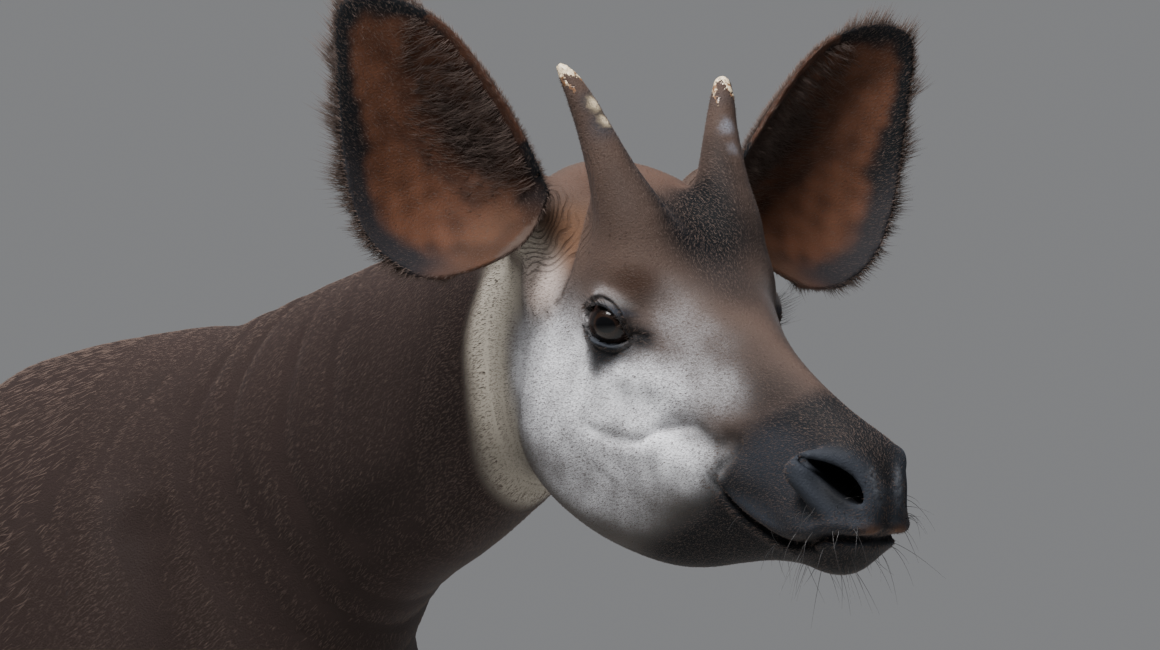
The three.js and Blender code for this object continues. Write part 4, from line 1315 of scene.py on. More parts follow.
# The pale band round the throat: half width, and the line it follows
CREAM_BAND = (
    31,
    [(-160, 82, -22), (-162, 80, -60), (-152, 76, -102), (-152, 58, -146), (-152, 34, -176), (-152, 0, -196)],
)
EAR_BAND = (6, 17)  # black margin of the ear: on the rim by the head, and on the outer one
STRIPE_GAP = 34  # from one white stripe of the haunch to the next
STRIPE_WAVES = ((0.12, 37), (0.10, 61))  # how far the stripes swerve along X and upwards, and how fast
HIND_STRIPES = 0.86  # how strong the hind stripes are
STOCKING_TOP = {"fore": 610, "hind": 600}
STOCKING_END = 92  # height of the white hair's lower edge, by the hoof
KNEE = {"fore": 500, "hind": 560}
STRIPES_FROM = (620, 660)  # heights between which the stripes begin, above the stockings
GARTER = (168, 28)  # height of the dark band above the hoof, and half of it
# Colours that only one small place has; some of them are painted highlights, sheen and shade
SHADES = {
    "saddle": (0.0022, 0.0022, 0.0026),
    # painted wet highlight between the nostrils
    "septum": (0.14, 0.145, 0.16),
    "horn_sheen": (0.16, 0.17, 0.2),
    "ear_sheen": (0.030, 0.027, 0.030),
    "ear_grey": (0.060, 0.056, 0.056),
    # painted shade for the grooves of the fine folds round the ears
    "wrinkle_shade": (0.016, 0.011, 0.009),
}
EAR_SKIN = 0.0035  # points nearer than this to an ear's sheet belong to the ear
EYE_FRONT = 0.004  # marks by the eye are laid only this far before the eyeball's middle


def patches(points, rows):
    """0 to 1: how strongly soft patches cover points."""
    bare = np.ones(len(points))
    for middle, reach, strength in rows:
        away = (points / MM - np.array(middle)) / np.array(reach)
        bare *= 1 - strength * np.exp(-((away**2).sum(1) ** 1.5))
    return 1 - bare


def mixed(colours, other, share):
    """Colours with another over them, as strongly as share says at each point."""
    return colours + (np.array(other) - colours) * share[:, None]


def lay(colours, name, share):
    """Lays a colour of the settings or of SHADES over others, in place."""
    colours[:] = mixed(colours, SHADES.get(name) or hue(name), share)


def ear_zones(animal, points):
    """Which points are an ear's, how far in from its edge, which face into its cup, and where they lie."""
    is_ear = np.zeros(len(points), bool)
    inward = np.zeros(len(points))
    cup = np.zeros(len(points), bool)
    local = np.zeros((len(points), 3))
    for ear in animal.ears.values():
        here = ear(points) < EAR_SKIN
        if here.any():
            own = ear.local(points[here])
            share, edge = ear.outline(own)
            is_ear[here], inward[here] = True, (1 - share) * edge
            cup[here] = own[:, 2] > ear.hollow(np.minimum(share, 1), own[:, 0])
            local[here] = own
    return is_ear, inward, cup, local


def face_ground(place, colours, pale):
    """Lays the broad colours of crown, jaw, cheek and throat, with painted shade on the throat's cream, and
    says where the pale hairs are.
    """
    x, _, z = place.T
    face = step_between(-0.185, -0.15, x + 0.1 * np.clip(z, -0.2, 0))
    crown = step_between(-0.16, -0.11, x)
    lay(colours, "crown", np.maximum(face * 0.9, crown) * step_between(-0.26, -0.2, z))
    lay(colours, "jaw", face * step_between(-0.04, -0.09, z))
    pale[:] = patches(place, PALE_PATCHES) * (0.84 + 0.16 * ripple(place, 30, 7))
    lay(colours, "cheek", np.sqrt(pale))
    lay(colours, "rust", patches(place, POLL_RUST))
    lay(colours, "tan", patches(place, TEMPLE_TAN))
    width, line = CREAM_BAND
    away, _ = line_distance(smooth_rows(line, 3) * MM, place)
    band = step_between(width + 12, width - 14, away / MM)
    cream = np.maximum(patches(place, CREAM_PATCHES), band)
    # Painted shade: the cream darker towards the jaw, where the band lies recessed behind it, and darker
    # lower down
    lit = 0.62 + 0.38 * step_between(-0.13, -0.165, x)
    lit = lit * (0.35 + 0.65 * step_between(-0.17, -0.09, z))
    colours[:] = mixed(colours, np.array(hue("cream")) * lit[:, None], cream)
    pale *= 1 - cream * 0.6


def face_marks(place, colours, pale):
    """Lays the black muzzle, the marks round the eye, painted shade in the face's folds, pockets and grooves
    and under the jaw, and painted sheen and highlights on bare skin.
    """
    across, up, ahead = eye_place(place)
    by_eye = np.column_stack((across, up))
    before = ahead > EYE_FRONT
    heights, starts = np.array(MUZZLE_EDGE, float).T
    start = np.interp(place[:, 2] / MM, heights, starts)
    muzzle = step_between(-26, 24, place[:, 0] / MM - start)
    # Black fur, and painted shade in the face's creases, pockets and folds and under the jaw
    black_and_shade = np.maximum(muzzle, patches(place, BLACK_AND_SHADE_PATCHES))
    black_and_shade = np.maximum(black_and_shade, patches(by_eye, EYE_SOOT) * before)
    bump, brow = patches(place, BUMP), patches(place, BROW)
    lay(colours, "bump", bump)
    lay(colours, "brow", brow)
    lay(colours, "black", black_and_shade * 0.97)
    lay(colours, "saddle", patches(place, SADDLE))
    lay(colours, "cheek", patches(by_eye, LID_RIDGE) * before)
    lay(colours, "slate", patches(place, MUZZLE_SHEEN) * muzzle)
    lay(colours, "slate", patches(by_eye, LID_SHEEN) * before)
    _, outward, _, _, ring = nostril_place(place)
    rim = bell(ring, 1, 0.42) * step_between(-0.012, -0.002, outward) * step_between(0.02, 0.01, outward)
    lay(colours, "slate", rim * 0.7)
    # painted shade: a dark line where the brow's ridge overlaps the temple
    away, _ = line_distance(smooth_rows(TEMPLE_LINE, 3) * MM, place)
    lay(colours, "black", bell(away, 0, 0.0024) * 0.7)
    # painted shadow: black along the groove between the lips
    lay(colours, "black", bell(above_mouth(place), 0, 0.005) * step_between(0.095, 0.112, place[:, 0]))
    pale *= (1 - bell(away, 0, 0.003)) * (1 - black_and_shade) * (1 - brow * 0.9) * (1 - bump * 0.8)
    # painted wet highlight on the septum, mottled
    lay(colours, "septum", patches(place, SEPTUM_HIGHLIGHT) * (0.5 + 0.5 * ripple(place, 4, 9)))
    lay(colours, "tan", patches(place, LIP_TAN) * (0.7 + 0.3 * ripple(place, 5, 13)))


def horn_marks(place, colours):
    """Lays what differs between the two horns: dark fur, torn skin with bone in it, and a painted sheen on
    the left one.
    """
    lay(colours, "black", patches(place, LEFT_SOOT) * 0.9)
    lay(colours, "slate", patches(place, HORN_SCARS) * 0.8)
    lay(colours, "black", patches(place, SLOT_EDGE))
    lay(colours, "bone", patches(place, HORN_SLOTS))
    lay(colours, "horn_sheen", patches(place, HORN_SHEEN))


def ear_colours(animal, points, colours, pale):
    """Lays the ears' colours: black outside and round the margin, a brown cup with painted shade in its
    middle and along a fold, and a painted sheen by the outer margin.
    """
    is_ear, inward, cup, local = ear_zones(animal, points)
    across, along = local[:, 1] / MM, local[:, 0] / MM
    narrow, broad = EAR_BAND
    outer = np.maximum(step_between(-38, 20, across), step_between(150, 190, along))
    band = narrow + (broad - narrow) * outer
    waves = ripple(local, 26, 6)
    margin = step_between(band + 10, band - 6, inward / MM + 3 * waves)
    margin = margin * (1 - 0.6 * step_between(40, 10, along) * step_between(-20, 20, across))
    inside = np.array(hue("rust")) * (0.78 + 0.2 * step_between(-20, 60, across) + 0.16 * waves)[:, None]
    # Painted shade: darkest in the cup's hollow middle, and along a fold
    deep = np.exp(-(((along - 74) / 52) ** 2 + ((across + 2) / 20) ** 2))
    fold = np.exp(-((across - 22 - 0.12 * along + 4 * waves) ** 2 / 60))
    fold = fold * step_between(10, 50, along) * step_between(160, 90, along)
    lay(inside, "black", np.clip(np.maximum(deep * 0.75, fold * 0.45), 0, 1))
    lay(inside, "black", margin)
    # painted sheen by the outer margin
    lay(inside, "ear_sheen", step_between(60, 95, across) * step_between(30, 10, inward / MM) * 0.4)
    base = step_between(34, 4, along) * step_between(-10, 30, across)
    lay(inside, "tan", base * 0.3 * (1 - margin))
    chosen = is_ear & (along > -6)
    colours[chosen] = np.where(cup[chosen, None], inside[chosen], np.array(hue("black")) * 1.4)
    pale[chosen] = 0
    rim = chosen & (across < -10) & (inward < 0.006) & (along < 170) & (along > 45)
    colours[rim] = mixed(colours[rim], hue("rust"), np.full(rim.sum(), 0.55))


def stripe_phase(x, z, lean):
    """How many stripes lie below points, told on stripes that lean and swerve."""
    (one, wave), (two, rise) = STRIPE_WAVES
    return (z + lean * (x + 500)) / STRIPE_GAP + one * np.sin(x / wave) + two * np.sin(z / rise)


def hind_lean(z):
    return 0.34 * step_between(700, 1000, z)


def leg_marks(animal, points, white, phase, striped):
    """White stockings with dark bands, and the stripes above them."""
    x, y, z = points.T / MM
    for name, leg in animal.legs.items():
        near = (z < 1260) & (leg(points) < 0.035) & ((y > 0) == name.endswith("left"))
        if not near.any():
            continue
        pair = name[:4]
        (_, ahead, _), reaches, _ = leg.local(points[near])
        front = ahead / reaches[:, 0]
        place, height, knee = x[near], z[near], KNEE[pair]
        line = np.where(height < knee, 0.84 - front, 0.5) * 60
        cap = np.hypot((height - knee) / 40, (1 - front) / 0.7)
        garter = np.abs(height - GARTER[0]) - GARTER[1]
        bounds = (STOCKING_TOP[pair] - height, garter, line, (cap - 1) * 22, height - STOCKING_END)
        white[near] = np.maximum(white[near], np.minimum.reduce(bounds) / 20)
        strength = step_between(*STRIPES_FROM, height)
        if pair == "fore":
            phase[near] = stripe_phase(place, height, 0.10)
            strength = strength * step_between(900, 820, height) * 0.8
        else:
            phase[near] = stripe_phase(place, height, hind_lean(height))
            limit = -380 - 0.25 * (height - 900)
            strength = strength * step_between(1240, 1120, height)
            strength = strength * step_between(limit + 60, limit - 90, place) * HIND_STRIPES
        striped[near] = np.maximum(striped[near], strength)


def haunch_marks(points, phase, striped):
    """Stripes on the buttocks, behind the legs' own."""
    x, y, z = points.T / MM
    here = (x < -480) & (z > 960)
    phase[here] = stripe_phase(x, z, hind_lean(z))[here]
    strength = step_between(1240, 1120, z) * step_between(-500, -600, x) * step_between(30, 70, np.abs(y))
    striped[here] = np.maximum(striped, strength * HIND_STRIPES)[here]


def markings(animal, points):
    """What the coat's shader needs at points: ground colour, pale hairs, white marks and wrinkles."""
    count = len(points)
    colours = np.tile(np.array(hue("trunk")), (count, 1))
    pale, phase, striped, fold, creased = np.zeros((5, count))
    white = np.full(count, -1.0)
    haunch_marks(points, phase, striped)
    leg_marks(animal, points, white, phase, striped)
    near = to_head(points)[:, 0] > -0.3
    if near.any():
        face, frost, place = colours[near], pale[near], to_head(points[near])
        face_ground(folded(place), face, frost)
        face_marks(folded(place), face, frost)
        horn_marks(place, face)
        ear_colours(animal, points[near], face, frost)
        colours[near], pale[near] = face, frost
        fold[near], creased[near] = ear_wrinkles(place)
        creased[near] *= ~ear_zones(animal, points[near])[0]
    names = ("Ground", "Pale", "White", "Phase", "Striped", "Fold", "Folded")
    return dict(zip(names, (colours, pale, np.clip(white, -1, 1), phase, striped, fold, creased)))


def give_marks(mesh, marks, copies=1):
    """Writes marks on a mesh, each repeated for so many vertices in turn."""
    for name, values in marks.items():
        kind = "FLOAT_COLOR" if values.ndim == 2 else "FLOAT"
        attribute = mesh.attributes.new(name, kind, "POINT")
        if values.ndim == 2:
            values = np.column_stack((values, np.ones(len(values))))
            attribute.data.foreach_set("color", np.repeat(values, copies, axis=0).ravel())
        else:
            attribute.data.foreach_set("value", np.repeat(values, copies))


# Materials


class Wiring:
    """Adds shader nodes to a tree and links them."""

    def __init__(self, tree):
        self.nodes, self.links = tree.nodes, tree.links

    def feed(self, socket, value):
        if isinstance(value, bpy.types.NodeSocket):
            self.links.new(value, socket)
        elif isinstance(value, tuple) and len(value) == 3 and len(socket.default_value) == 4:
            socket.default_value = (*value, 1)
        else:
            socket.default_value = value

    def node(self, kind, inputs=None, **settings):
        made = self.nodes.new(kind)
        for name, value in settings.items():
            setattr(made, name, value)
        for socket, value in (inputs or {}).items():
            self.feed(made.inputs[socket], value)
        return made

    def math(self, operation, *values):
        made = self.node("ShaderNodeMath", operation=operation)
        for socket, value in zip(made.inputs, values):
            self.feed(socket, value)
        return made.outputs[0]

    def ramp(self, value, low, high):
        """0 to 1 as the value goes from low to high, smoothly."""
        made = self.node("ShaderNodeMapRange", interpolation_type="SMOOTHSTEP")
        for socket, given in zip(("Value", "From Min", "From Max"), (value, low, high)):
            self.feed(made.inputs[socket], given)
        return made.outputs["Result"]

    def mix(self, share, one, two, blend="MIX"):
        made = self.node("ShaderNodeMix", data_type="RGBA", blend_type=blend)
        for socket, given in zip((made.inputs[0], made.inputs[6], made.inputs[7]), (share, one, two)):
            self.feed(socket, given)
        return made.outputs[2]

    def product(self, first, *others):
        for other in others:
            first = self.math("MULTIPLY", first, other)
        return first

    def scaled(self, value, factor, start):
        """A value times a factor, added to a start."""
        return self.math("MULTIPLY_ADD", value, factor, start)

    def shaded(self, colour, value):
        """A colour, darker or lighter by a value."""
        grey = self.node("ShaderNodeCombineColor", {0: value, 1: value, 2: value}).outputs[0]
        return self.mix(1.0, colour, grey, "MULTIPLY")

    def noise(self, scale, detail, vector):
        made = self.node("ShaderNodeTexNoise", {"Scale": scale, "Detail": detail, "Vector": vector})
        return made.outputs["Fac"]

    def bump(self, shader, strength, distance, height):
        made = self.node("ShaderNodeBump", {"Strength": strength, "Distance": distance, "Height": height})
        self.links.new(made.outputs["Normal"], shader.inputs["Normal"])

    def attribute(self, name, output="Fac"):
        return self.node("ShaderNodeAttribute", attribute_name=name).outputs[output]

    def place(self):
        return self.node("ShaderNodeTexCoord").outputs["Object"]


def coat_group():
    """The markings as a colour, the same on the skin and on the tufts, with painted shade along the wrinkles'
    grooves, and the height of the wrinkles.
    """
    group = bpy.data.node_groups.new("Okapi coat", "ShaderNodeTree")
    for name, way, kind in (
        ("Grain", "INPUT", "Float"),
        ("Tip", "INPUT", "Float"),
        ("Color", "OUTPUT", "Color"),
        ("Height", "OUTPUT", "Float"),
    ):
        group.interface.new_socket(name, in_out=way, socket_type="NodeSocket" + kind)
    w = Wiring(group)
    given = w.node("NodeGroupInput")
    grain, tip = given.outputs["Grain"], given.outputs["Tip"]
    place = w.place()
    broad = w.noise(9.0, 3.0, place)
    fine = w.noise(60.0, 2.0, place)

    tone = w.scaled(grain, 0.34, w.scaled(broad, 0.5, 0.56))
    ground = w.shaded(w.attribute("Ground", "Color"), tone)
    pale = w.attribute("Pale")
    speckle = w.scaled(grain, 0.85, w.scaled(fine, 0.6, -0.725))
    edge = w.product(pale, w.math("SUBTRACT", 1.0, pale), 2.4)
    reach = w.scaled(edge, 0.5, w.product(pale, 0.55))
    frost = w.scaled(reach, speckle, w.product(pale, 0.9))
    frost = w.node("ShaderNodeClamp", {"Value": frost}).outputs[0]
    colour = w.mix(frost, ground, hue("frost"))

    phase = w.math("ADD", w.attribute("Phase"), w.product(broad, 0.9))
    wave = w.math("SINE", w.product(phase, 2 * math.pi))
    limit = w.scaled(w.attribute("Striped"), -1.55, 1.25)
    stripes = w.ramp(w.math("SUBTRACT", wave, limit), 0.0, 0.16)
    ragged = w.scaled(w.math("SUBTRACT", fine, 0.5), 0.9, w.attribute("White"))
    white = w.math("MAXIMUM", stripes, w.ramp(ragged, -0.12, 0.12))
    colour = w.mix(white, colour, hue("cream"))
    colour = w.shaded(colour, w.scaled(tip, 0.16, 0.9))
    line = w.ramp(w.math("SINE", w.product(w.attribute("Fold"), 2 * math.pi)), 0.1, 0.9)
    line = w.product(line, w.attribute("Folded"))
    # Painted shade: the colour darkened along the grooves of the fine folds round the ears' roots
    colour = w.mix(w.product(line, 0.5), colour, SHADES["wrinkle_shade"])
    made = w.node("NodeGroupOutput").inputs
    w.links.new(colour, made["Color"])
    w.links.new(line, made["Height"])
    return group


def new_material(name, **constants):
    """A material with a Principled shader, constants on its sockets, and its wiring."""
    material = bpy.data.materials.new(name)
    material.use_nodes = True
    shader = material.node_tree.nodes["Principled BSDF"]
    for socket, value in constants.items():
        shader.inputs[socket.replace("_", " ").title().replace("Ior", "IOR")].default_value = value
    return material, Wiring(material.node_tree), shader


def plain_material(name, colour, **constants):
    material, _, shader = new_material(name, **constants)
    shader.inputs["Base Color"].default_value = (*colour, 1)
    return material


SHEEN = {
    "sheen_weight": 0.015,
    "sheen_roughness": 0.4,
    "sheen_tint": (0.72, 0.8, 1.0, 1),
    "specular_ior_level": 0.055,
}


def add_coat(w, shader, grain, tip):
    """Feeds a shader's colour from the group of markings."""
    coat = w.node("ShaderNodeGroup", node_tree=bpy.data.node_groups.get("Okapi coat") or coat_group())
    w.feed(coat.inputs["Grain"], grain)
    w.feed(coat.inputs["Tip"], tip)
    w.links.new(coat.outputs["Color"], shader.inputs["Base Color"])
    return coat


def skin_material():
    """Short flat fur as colour and bump."""
    material, w, shader = new_material("skin", roughness=0.62, **SHEEN)
    place = w.place()
    grain = w.scaled(w.ramp(w.noise(1300.0, 1.0, place), 0.3, 0.7), 0.5, 0.25)
    coat = add_coat(w, shader, grain, 0.35)
    w.bump(shader, 0.8, 0.0009, w.scaled(coat.outputs["Height"], -1.6, w.noise(600.0, 4.0, place)))
    return material


def tuft_material():
    """The tufts' material, made at its first use."""
    material = bpy.data.materials.get("coat")
    if material:
        return material
    material, w, shader = new_material("coat", roughness=0.6, **SHEEN)
    add_coat(w, shader, w.attribute("Grain"), w.attribute("Tip"))
    return material


# Coat

# Zones of the coat: spacing of the tufts, their length, width and rise off the skin, in millimetres
ZONES = {
    "face": (1.75, 4.4, 0.6, 0.6),
    "poll": (2.2, 6.0, 0.8, 0.8),
    "neck": (2.9, 8.0, 0.8, 0.35),
    "trunk": (5.4, 15.0, 1.2, 0.35),
    "legs": (4.8, 9.5, 1.3, 0.6),
    "ears": (1.9, 6.5, 0.6, 0.5),
}


def skin_triangles(mesh):
    """Corners of each triangle as points, and the vertex numbers."""
    mesh.calc_loop_triangles()
    corners = np.zeros(len(mesh.loop_triangles) * 3, int)
    mesh.loop_triangles.foreach_get("vertices", corners)
    return corners.reshape(-1, 3)


def zone_of(animal, points):
    """The number of each point's zone, in the order of ZONES."""
    x, _, z = points.T
    place = to_head(points)
    inside = {
        "legs": z < 0.86,
        "neck": (x > 0.45) & (z > 1.15),
        "poll": place[:, 0] > -0.24,
        "face": (place[:, 0] > -0.16) & (np.abs(place[:, 1]) < 0.11),
        "ears": ear_zones(animal, points)[0],
    }
    numbers = list(ZONES)
    zone = np.full(len(points), numbers.index("trunk"))
    for name, here in inside.items():
        zone[here] = numbers.index(name)
    return zone


def scatter(rng, points, normals, corners, chosen, spacing):
    """Roots spread evenly over chosen triangles, with the normals there."""
    one, two, three = (points[corners[chosen, i]] for i in range(3))
    areas = np.linalg.norm(np.cross(two - one, three - one), axis=1) / 2
    total = np.cumsum(areas)
    count = int(total[-1] / (spacing * MM) ** 2)
    at = (np.arange(count) + rng.random(count)) / count * total[-1]
    which = np.minimum(np.searchsorted(total, at), len(areas) - 1)
    u, v = rng.random(count), rng.random(count)
    over = u + v > 1
    u[over], v[over] = 1 - u[over], 1 - v[over]
    weights = np.column_stack((1 - u - v, u, v))[:, :, None]
    picked = corners[chosen][which]
    roots = (points[picked] * weights).sum(1)
    outward = (normals[picked] * weights).sum(1)
    return roots, units(outward)


def lie_of(animal, points, normals):
    """The way the hair lies: back on the face, back and down on the body, down the legs, out on the ears."""
    place = to_head(points)
    lie = np.tile(np.array((-0.75, 0.0, -0.62)), (len(points), 1))
    lower = step_between(0.95, 0.7, points[:, 2])[:, None]
    lie = lie * (1 - lower) + np.array((-0.12, 0.0, -1.0)) * lower
    crown = (step_between(-0.26, -0.12, place[:, 0]) * (place[:, 2] > -0.3))[:, None]
    drop = -0.45 - 1.2 * np.clip(-place[:, 2] - 0.05, 0, 0.3)
    back = np.column_stack((np.full(len(points), -1.0), np.zeros(len(points)), drop))
    lie = lie * (1 - crown) + (back @ HEAD_AXES.T) * crown
    for ear in animal.ears.values():
        here = ear(points) < EAR_SKIN
        if here.any():
            own = ear.local(points[here])
            out = own - np.array((30, 0, 0)) * MM
            out[:, 2] = 0
            out = out / (np.linalg.norm(out, axis=1) + 1e-6)[:, None] + np.array((0.5, 0.1, 0))
            lie[here] = ear.world(own + out) - ear.world(own)
    flat = lie - normals * (lie * normals).sum(1)[:, None]
    return flat / (np.linalg.norm(flat, axis=1) + TINY)[:, None]


def spread_in_chart(first, second, cell=0, cells=1):
    """Places in a unit square, in one of several cells side by side, from two numbers between 0 and 1."""
    u = (cell + 0.02 + 0.96 * np.clip(first, 0, 1)) / cells
    return np.column_stack((u, 0.01 + 0.98 * np.clip(second, 0, 1)))


def way_round(across, up):
    """A direction as a number between 0 and 1."""
    return np.arctan2(across, up) / (2 * math.pi) + 0.5


def ear_chart(local, cell):
    return spread_in_chart((local[:, 0] / MM + 40) / 300, (local[:, 1] / MM + 80) / 220, cell, 4)


def chart_of(animal, zone, points):
    """Where each root lies on an unwrap of the skin's own shape, as places in a unit square."""
    x, y, z = points.T
    place = to_head(points)
    if zone in ("face", "poll"):
        return spread_in_chart((place[:, 0] + 0.3) / 0.6, way_round(place[:, 1], place[:, 2] + 0.05))
    if zone == "neck":
        (across, up, _), _, travel = animal.neck.local(points)
        return spread_in_chart(travel / animal.neck.travel[-1], way_round(across, up))
    if zone == "trunk":
        return spread_in_chart((x + 0.85) / 1.6, way_round(y, z - 1.18))
    if zone == "ears":
        _, _, cup, local = ear_zones(animal, points)
        return ear_chart(local, (place[:, 1] > 0) * 2 + cup)
    out = np.zeros((len(points), 2))
    for i, (name, leg) in enumerate(animal.legs.items()):
        here = ((y > 0) == name.endswith("left")) & ((x > -0.1) == name.startswith("fore"))
        (across, ahead, _), _, travel = leg.local(points[here])
        out[here] = spread_in_chart(way_round(across, ahead), travel / leg.travel[-1], i, 4)
    return out


def face_arrays(name, points, faces, uvs, normals):
    """A mesh from arrays of triangles, with a map named OFBake and the way each point catches the light."""
    mesh = bpy.data.meshes.new(name)
    mesh.vertices.add(len(points))
    mesh.vertices.foreach_set("co", points.ravel())
    mesh.loops.add(faces.size)
    mesh.loops.foreach_set("vertex_index", faces.ravel())
    mesh.polygons.add(len(faces))
    mesh.polygons.foreach_set("loop_start", np.arange(len(faces)) * 3)
    mesh.polygons.foreach_set("loop_total", np.full(len(faces), 3))
    layer = mesh.uv_layers.new(name="OFBake")
    layer.data.foreach_set("uv", uvs[faces.ravel()].ravel())
    mesh.update(calc_edges=True)
    mesh.polygons.foreach_set("use_smooth", np.ones(len(faces), bool))
    mesh.normals_split_custom_set_from_vertices(units(normals))
    return mesh


PATCH = 0.003  # side of a tuft's place on the chart
SPREAD = 0.25  # how far a tuft's two sides turn from the skin's own way
ROOT_DEPTH = 0.0006  # how far a tuft's root lies under the skin
TUFT_FACES = np.array([(2, 1, 0), (1, 3, 0), (2, 3, 1), (0, 3, 2)])
CLUMP = {"face": 5, "poll": 7, "neck": 9, "trunk": 22, "legs": 14, "ears": 8}  # width of a lock of tufts
# How unevenly the tufts of each zone catch the light
RUFFLE = {"face": 0.13, "poll": 0.12, "neck": 0.07, "trunk": 0.05, "legs": 0.06, "ears": 0.2}


def short_tufts(name, animal, rng, zone, roots, normals):
    """Flat four-sided tufts along the lie of the coat, each with its root's marks."""
    _, length, width, rise = ZONES[zone]
    clump, ruffle = CLUMP[zone], RUFFLE[zone]
    count = len(roots)

    def varied(size, least, most):
        return (size * MM * rng.uniform(least, most, count))[:, None]

    lie = lie_of(animal, roots, normals)
    side = np.cross(normals, lie)
    swerve = (rng.normal(0, 0.14, count) + ripple(roots, clump, 1) * 0.16)[:, None]
    lie = lie * np.cos(swerve) + side * np.sin(swerve)
    side = np.cross(normals, lie)
    long = varied(length, 0.75, 1.2)
    wide = varied(width, 0.7, 1.2) / 2
    up = varied(rise, 0.35, 1.3)
    base = roots - normals * ROOT_DEPTH + lie * long * 0.1
    ridge = base + normals * wide * 1.3 + lie * long * 0.2
    tips = roots + lie * long + normals * up
    points = np.stack((base - side * wide, base + side * wide, ridge, tips), 1)
    faces = (np.arange(count)[:, None, None] * 4 + TUFT_FACES).reshape(-1, 3)
    spot = chart_of(animal, zone, roots)[:, None, :]
    offsets = PATCH * np.array([(-0.5, -0.5), (0.5, -0.5), (0.0, 0.05), (0.0, 0.5)])
    shine = np.stack((normals - side * SPREAD, normals + side * SPREAD, normals, normals + lie * 0.15), 1)
    shine = shine + rng.normal(0, ruffle, (count, 1, 3))
    lean = np.stack([ripple(roots, clump, seed) for seed in (2, 3, 4)], 1) * ruffle * 1.1
    shine = (shine + lean[:, None]).reshape(-1, 3)
    mesh = face_arrays(name, (points + ORIGIN).reshape(-1, 3), faces, (spot + offsets).reshape(-1, 2), shine)
    give_marks(mesh, markings(animal, roots), 4)
    grain = 0.62 * rng.random(count) + 0.38 * np.clip(0.5 + 0.5 * ripple(roots, clump, 5), 0, 1)
    give_marks(mesh, {"Grain": grain}, 4)
    give_marks(mesh, {"Tip": np.tile((0.0, 0.0, 0.35, 1.0), count)})
    return mesh


MOST_TUFTS = 48000  # in one piece
COAT_SLOTS = {"face": "face_hair", "poll": "face_hair", "ears": "ear_hair", "legs": "leg_hair"}


def coat_pieces(animal, zone, rng):
    """The short coat of one zone, in as many pieces as its size calls for."""
    mesh, points, normals = okapi_skin()
    corners = skin_triangles(mesh)
    zones = zone_of(animal, points[corners].mean(1))
    chosen = np.flatnonzero(zones == list(ZONES).index(zone))
    spacing = ZONES[zone][0] / math.sqrt(bpy.context.scene.okapi_coat.density)
    roots, outward = scatter(rng, points, normals, corners, chosen, spacing)
    kept = bare_share(roots) < rng.random(len(roots))
    roots, outward = roots[kept], outward[kept]
    parts = math.ceil(len(roots) / MOST_TUFTS)
    for i in range(parts):
        part = slice(i, None, parts)
        name = f"coat_{zone}" + (f"_{i + 1}" if parts > 1 else "")
        mesh = short_tufts(name, animal, rng, zone, roots[part], outward[part])
        add_mesh(name, mesh, tuft_material(), COAT_SLOTS.get(zone, "coat"))


def bare_share(points):
    """0 where the coat is full, 1 where the skin is bare: by lids and nostrils, in wrinkles and hooves."""
    place = folded(to_head(points))
    across, up, ahead = eye_place(place)
    lids = step_between(0.004, 0.001, lid_edge(across, up)) * (ahead > 0)
    away = np.linalg.norm((place - NOSTRIL_MIDDLE) * np.array((1, 1, 1.3)), axis=1)
    nose = step_between(0.040, 0.028, away)
    feet = points[:, 2] < CORONET * MM
    _, creased = ear_wrinkles(place)
    return np.maximum.reduce((lids, nose, feet, creased * 0.75))


# Pieces


def add_object(name, mesh, slot, *nodes):
    """A finished piece from a mesh in the frame's own place, instead of the nodes named."""
    piece = bpy.data.objects.new(name, mesh)
    bpy.context.scene.collection.objects.link(piece)
    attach(piece, "root")
    if nodes:
        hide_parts(*nodes)
    return piece


def add_mesh(name, mesh, material, slot, *nodes):
    mesh.materials.append(material)
    return add_object(name, mesh, slot, *nodes)


def add_piece(name, bm, material, slot, *nodes):
    """A finished smooth piece from a bmesh told in the animal's own frame."""
    mesh = bpy.data.meshes.new(name)
    bm.to_mesh(mesh)
    bm.free()
    mesh.transform(Matrix.Translation(Vector(ORIGIN)))
    mesh.polygons.foreach_set("use_smooth", [True] * len(mesh.polygons))
    return add_mesh(name, mesh, material, slot, *nodes)


FLESH = [
    "torso", "neck", "head", "muzzle", "lower_lip", "ear_right", "ear_left",
    "ossicone_right", "ossicone_left", "tail",
    *[f"{leg}_{half}" for leg in STRIDE for half in ("upper", "lower")],
]


def okapi_skin():
    """The skin's mesh with its points and normals, in the animal's own frame."""
    piece = bpy.data.objects.get("skin")
    if piece is None:
        raise RuntimeError("The skin has to be made first")
    normals = np.zeros(len(piece.data.vertices) * 3)
    piece.data.vertices.foreach_get("normal", normals)
    return piece.data, mesh_points(piece.data) - ORIGIN, normals.reshape(-1, 3)


class OKAPI_OT_skin(Operator):
    """Lay one skin over the animal's solids, with its folds, lids, lips and markings"""

    bl_idname = "okapi.skin"
    bl_label = "Skin"

    def execute(self, context):
        skin = add_piece("skin", make_skin(okapi()), skin_material(), "coat", *FLESH)
        give_marks(skin.data, markings(okapi(), mesh_points(skin.data) - ORIGIN))
        return {"FINISHED"}


class OKAPI_OT_coat(Operator):
    """Cover the skin with short flat tufts, zone by zone"""

    bl_idname = "okapi.coat"
    bl_label = "Short coat"

    def execute(self, context):
        for number, zone in enumerate(ZONES):
            coat_pieces(okapi(), zone, np.random.default_rng(number))
        return {"FINISHED"}


def ring_mesh(rings):
    """A closed mesh over rings of points, each ring in the same order."""
    bm = bmesh.new()
    levels = [[bm.verts.new(point) for point in ring] for ring in rings]
    for below, above in zip(levels, levels[1:]):
        for k in range(len(below)):
            bm.faces.new((below[k - 1], below[k], above[k], above[k - 1]))
    bm.faces.new(levels[0][::-1])
    bm.faces.new(levels[-1])
    bmesh.ops.recalc_face_normals(bm, faces=bm.faces[:])
    return bm


CORNEA = (1.5, 0.5)  # how far it stands out, and half its width as an angle
CORNEA_GLOSS = {"coat_weight": 0.35, "coat_roughness": 0.02}


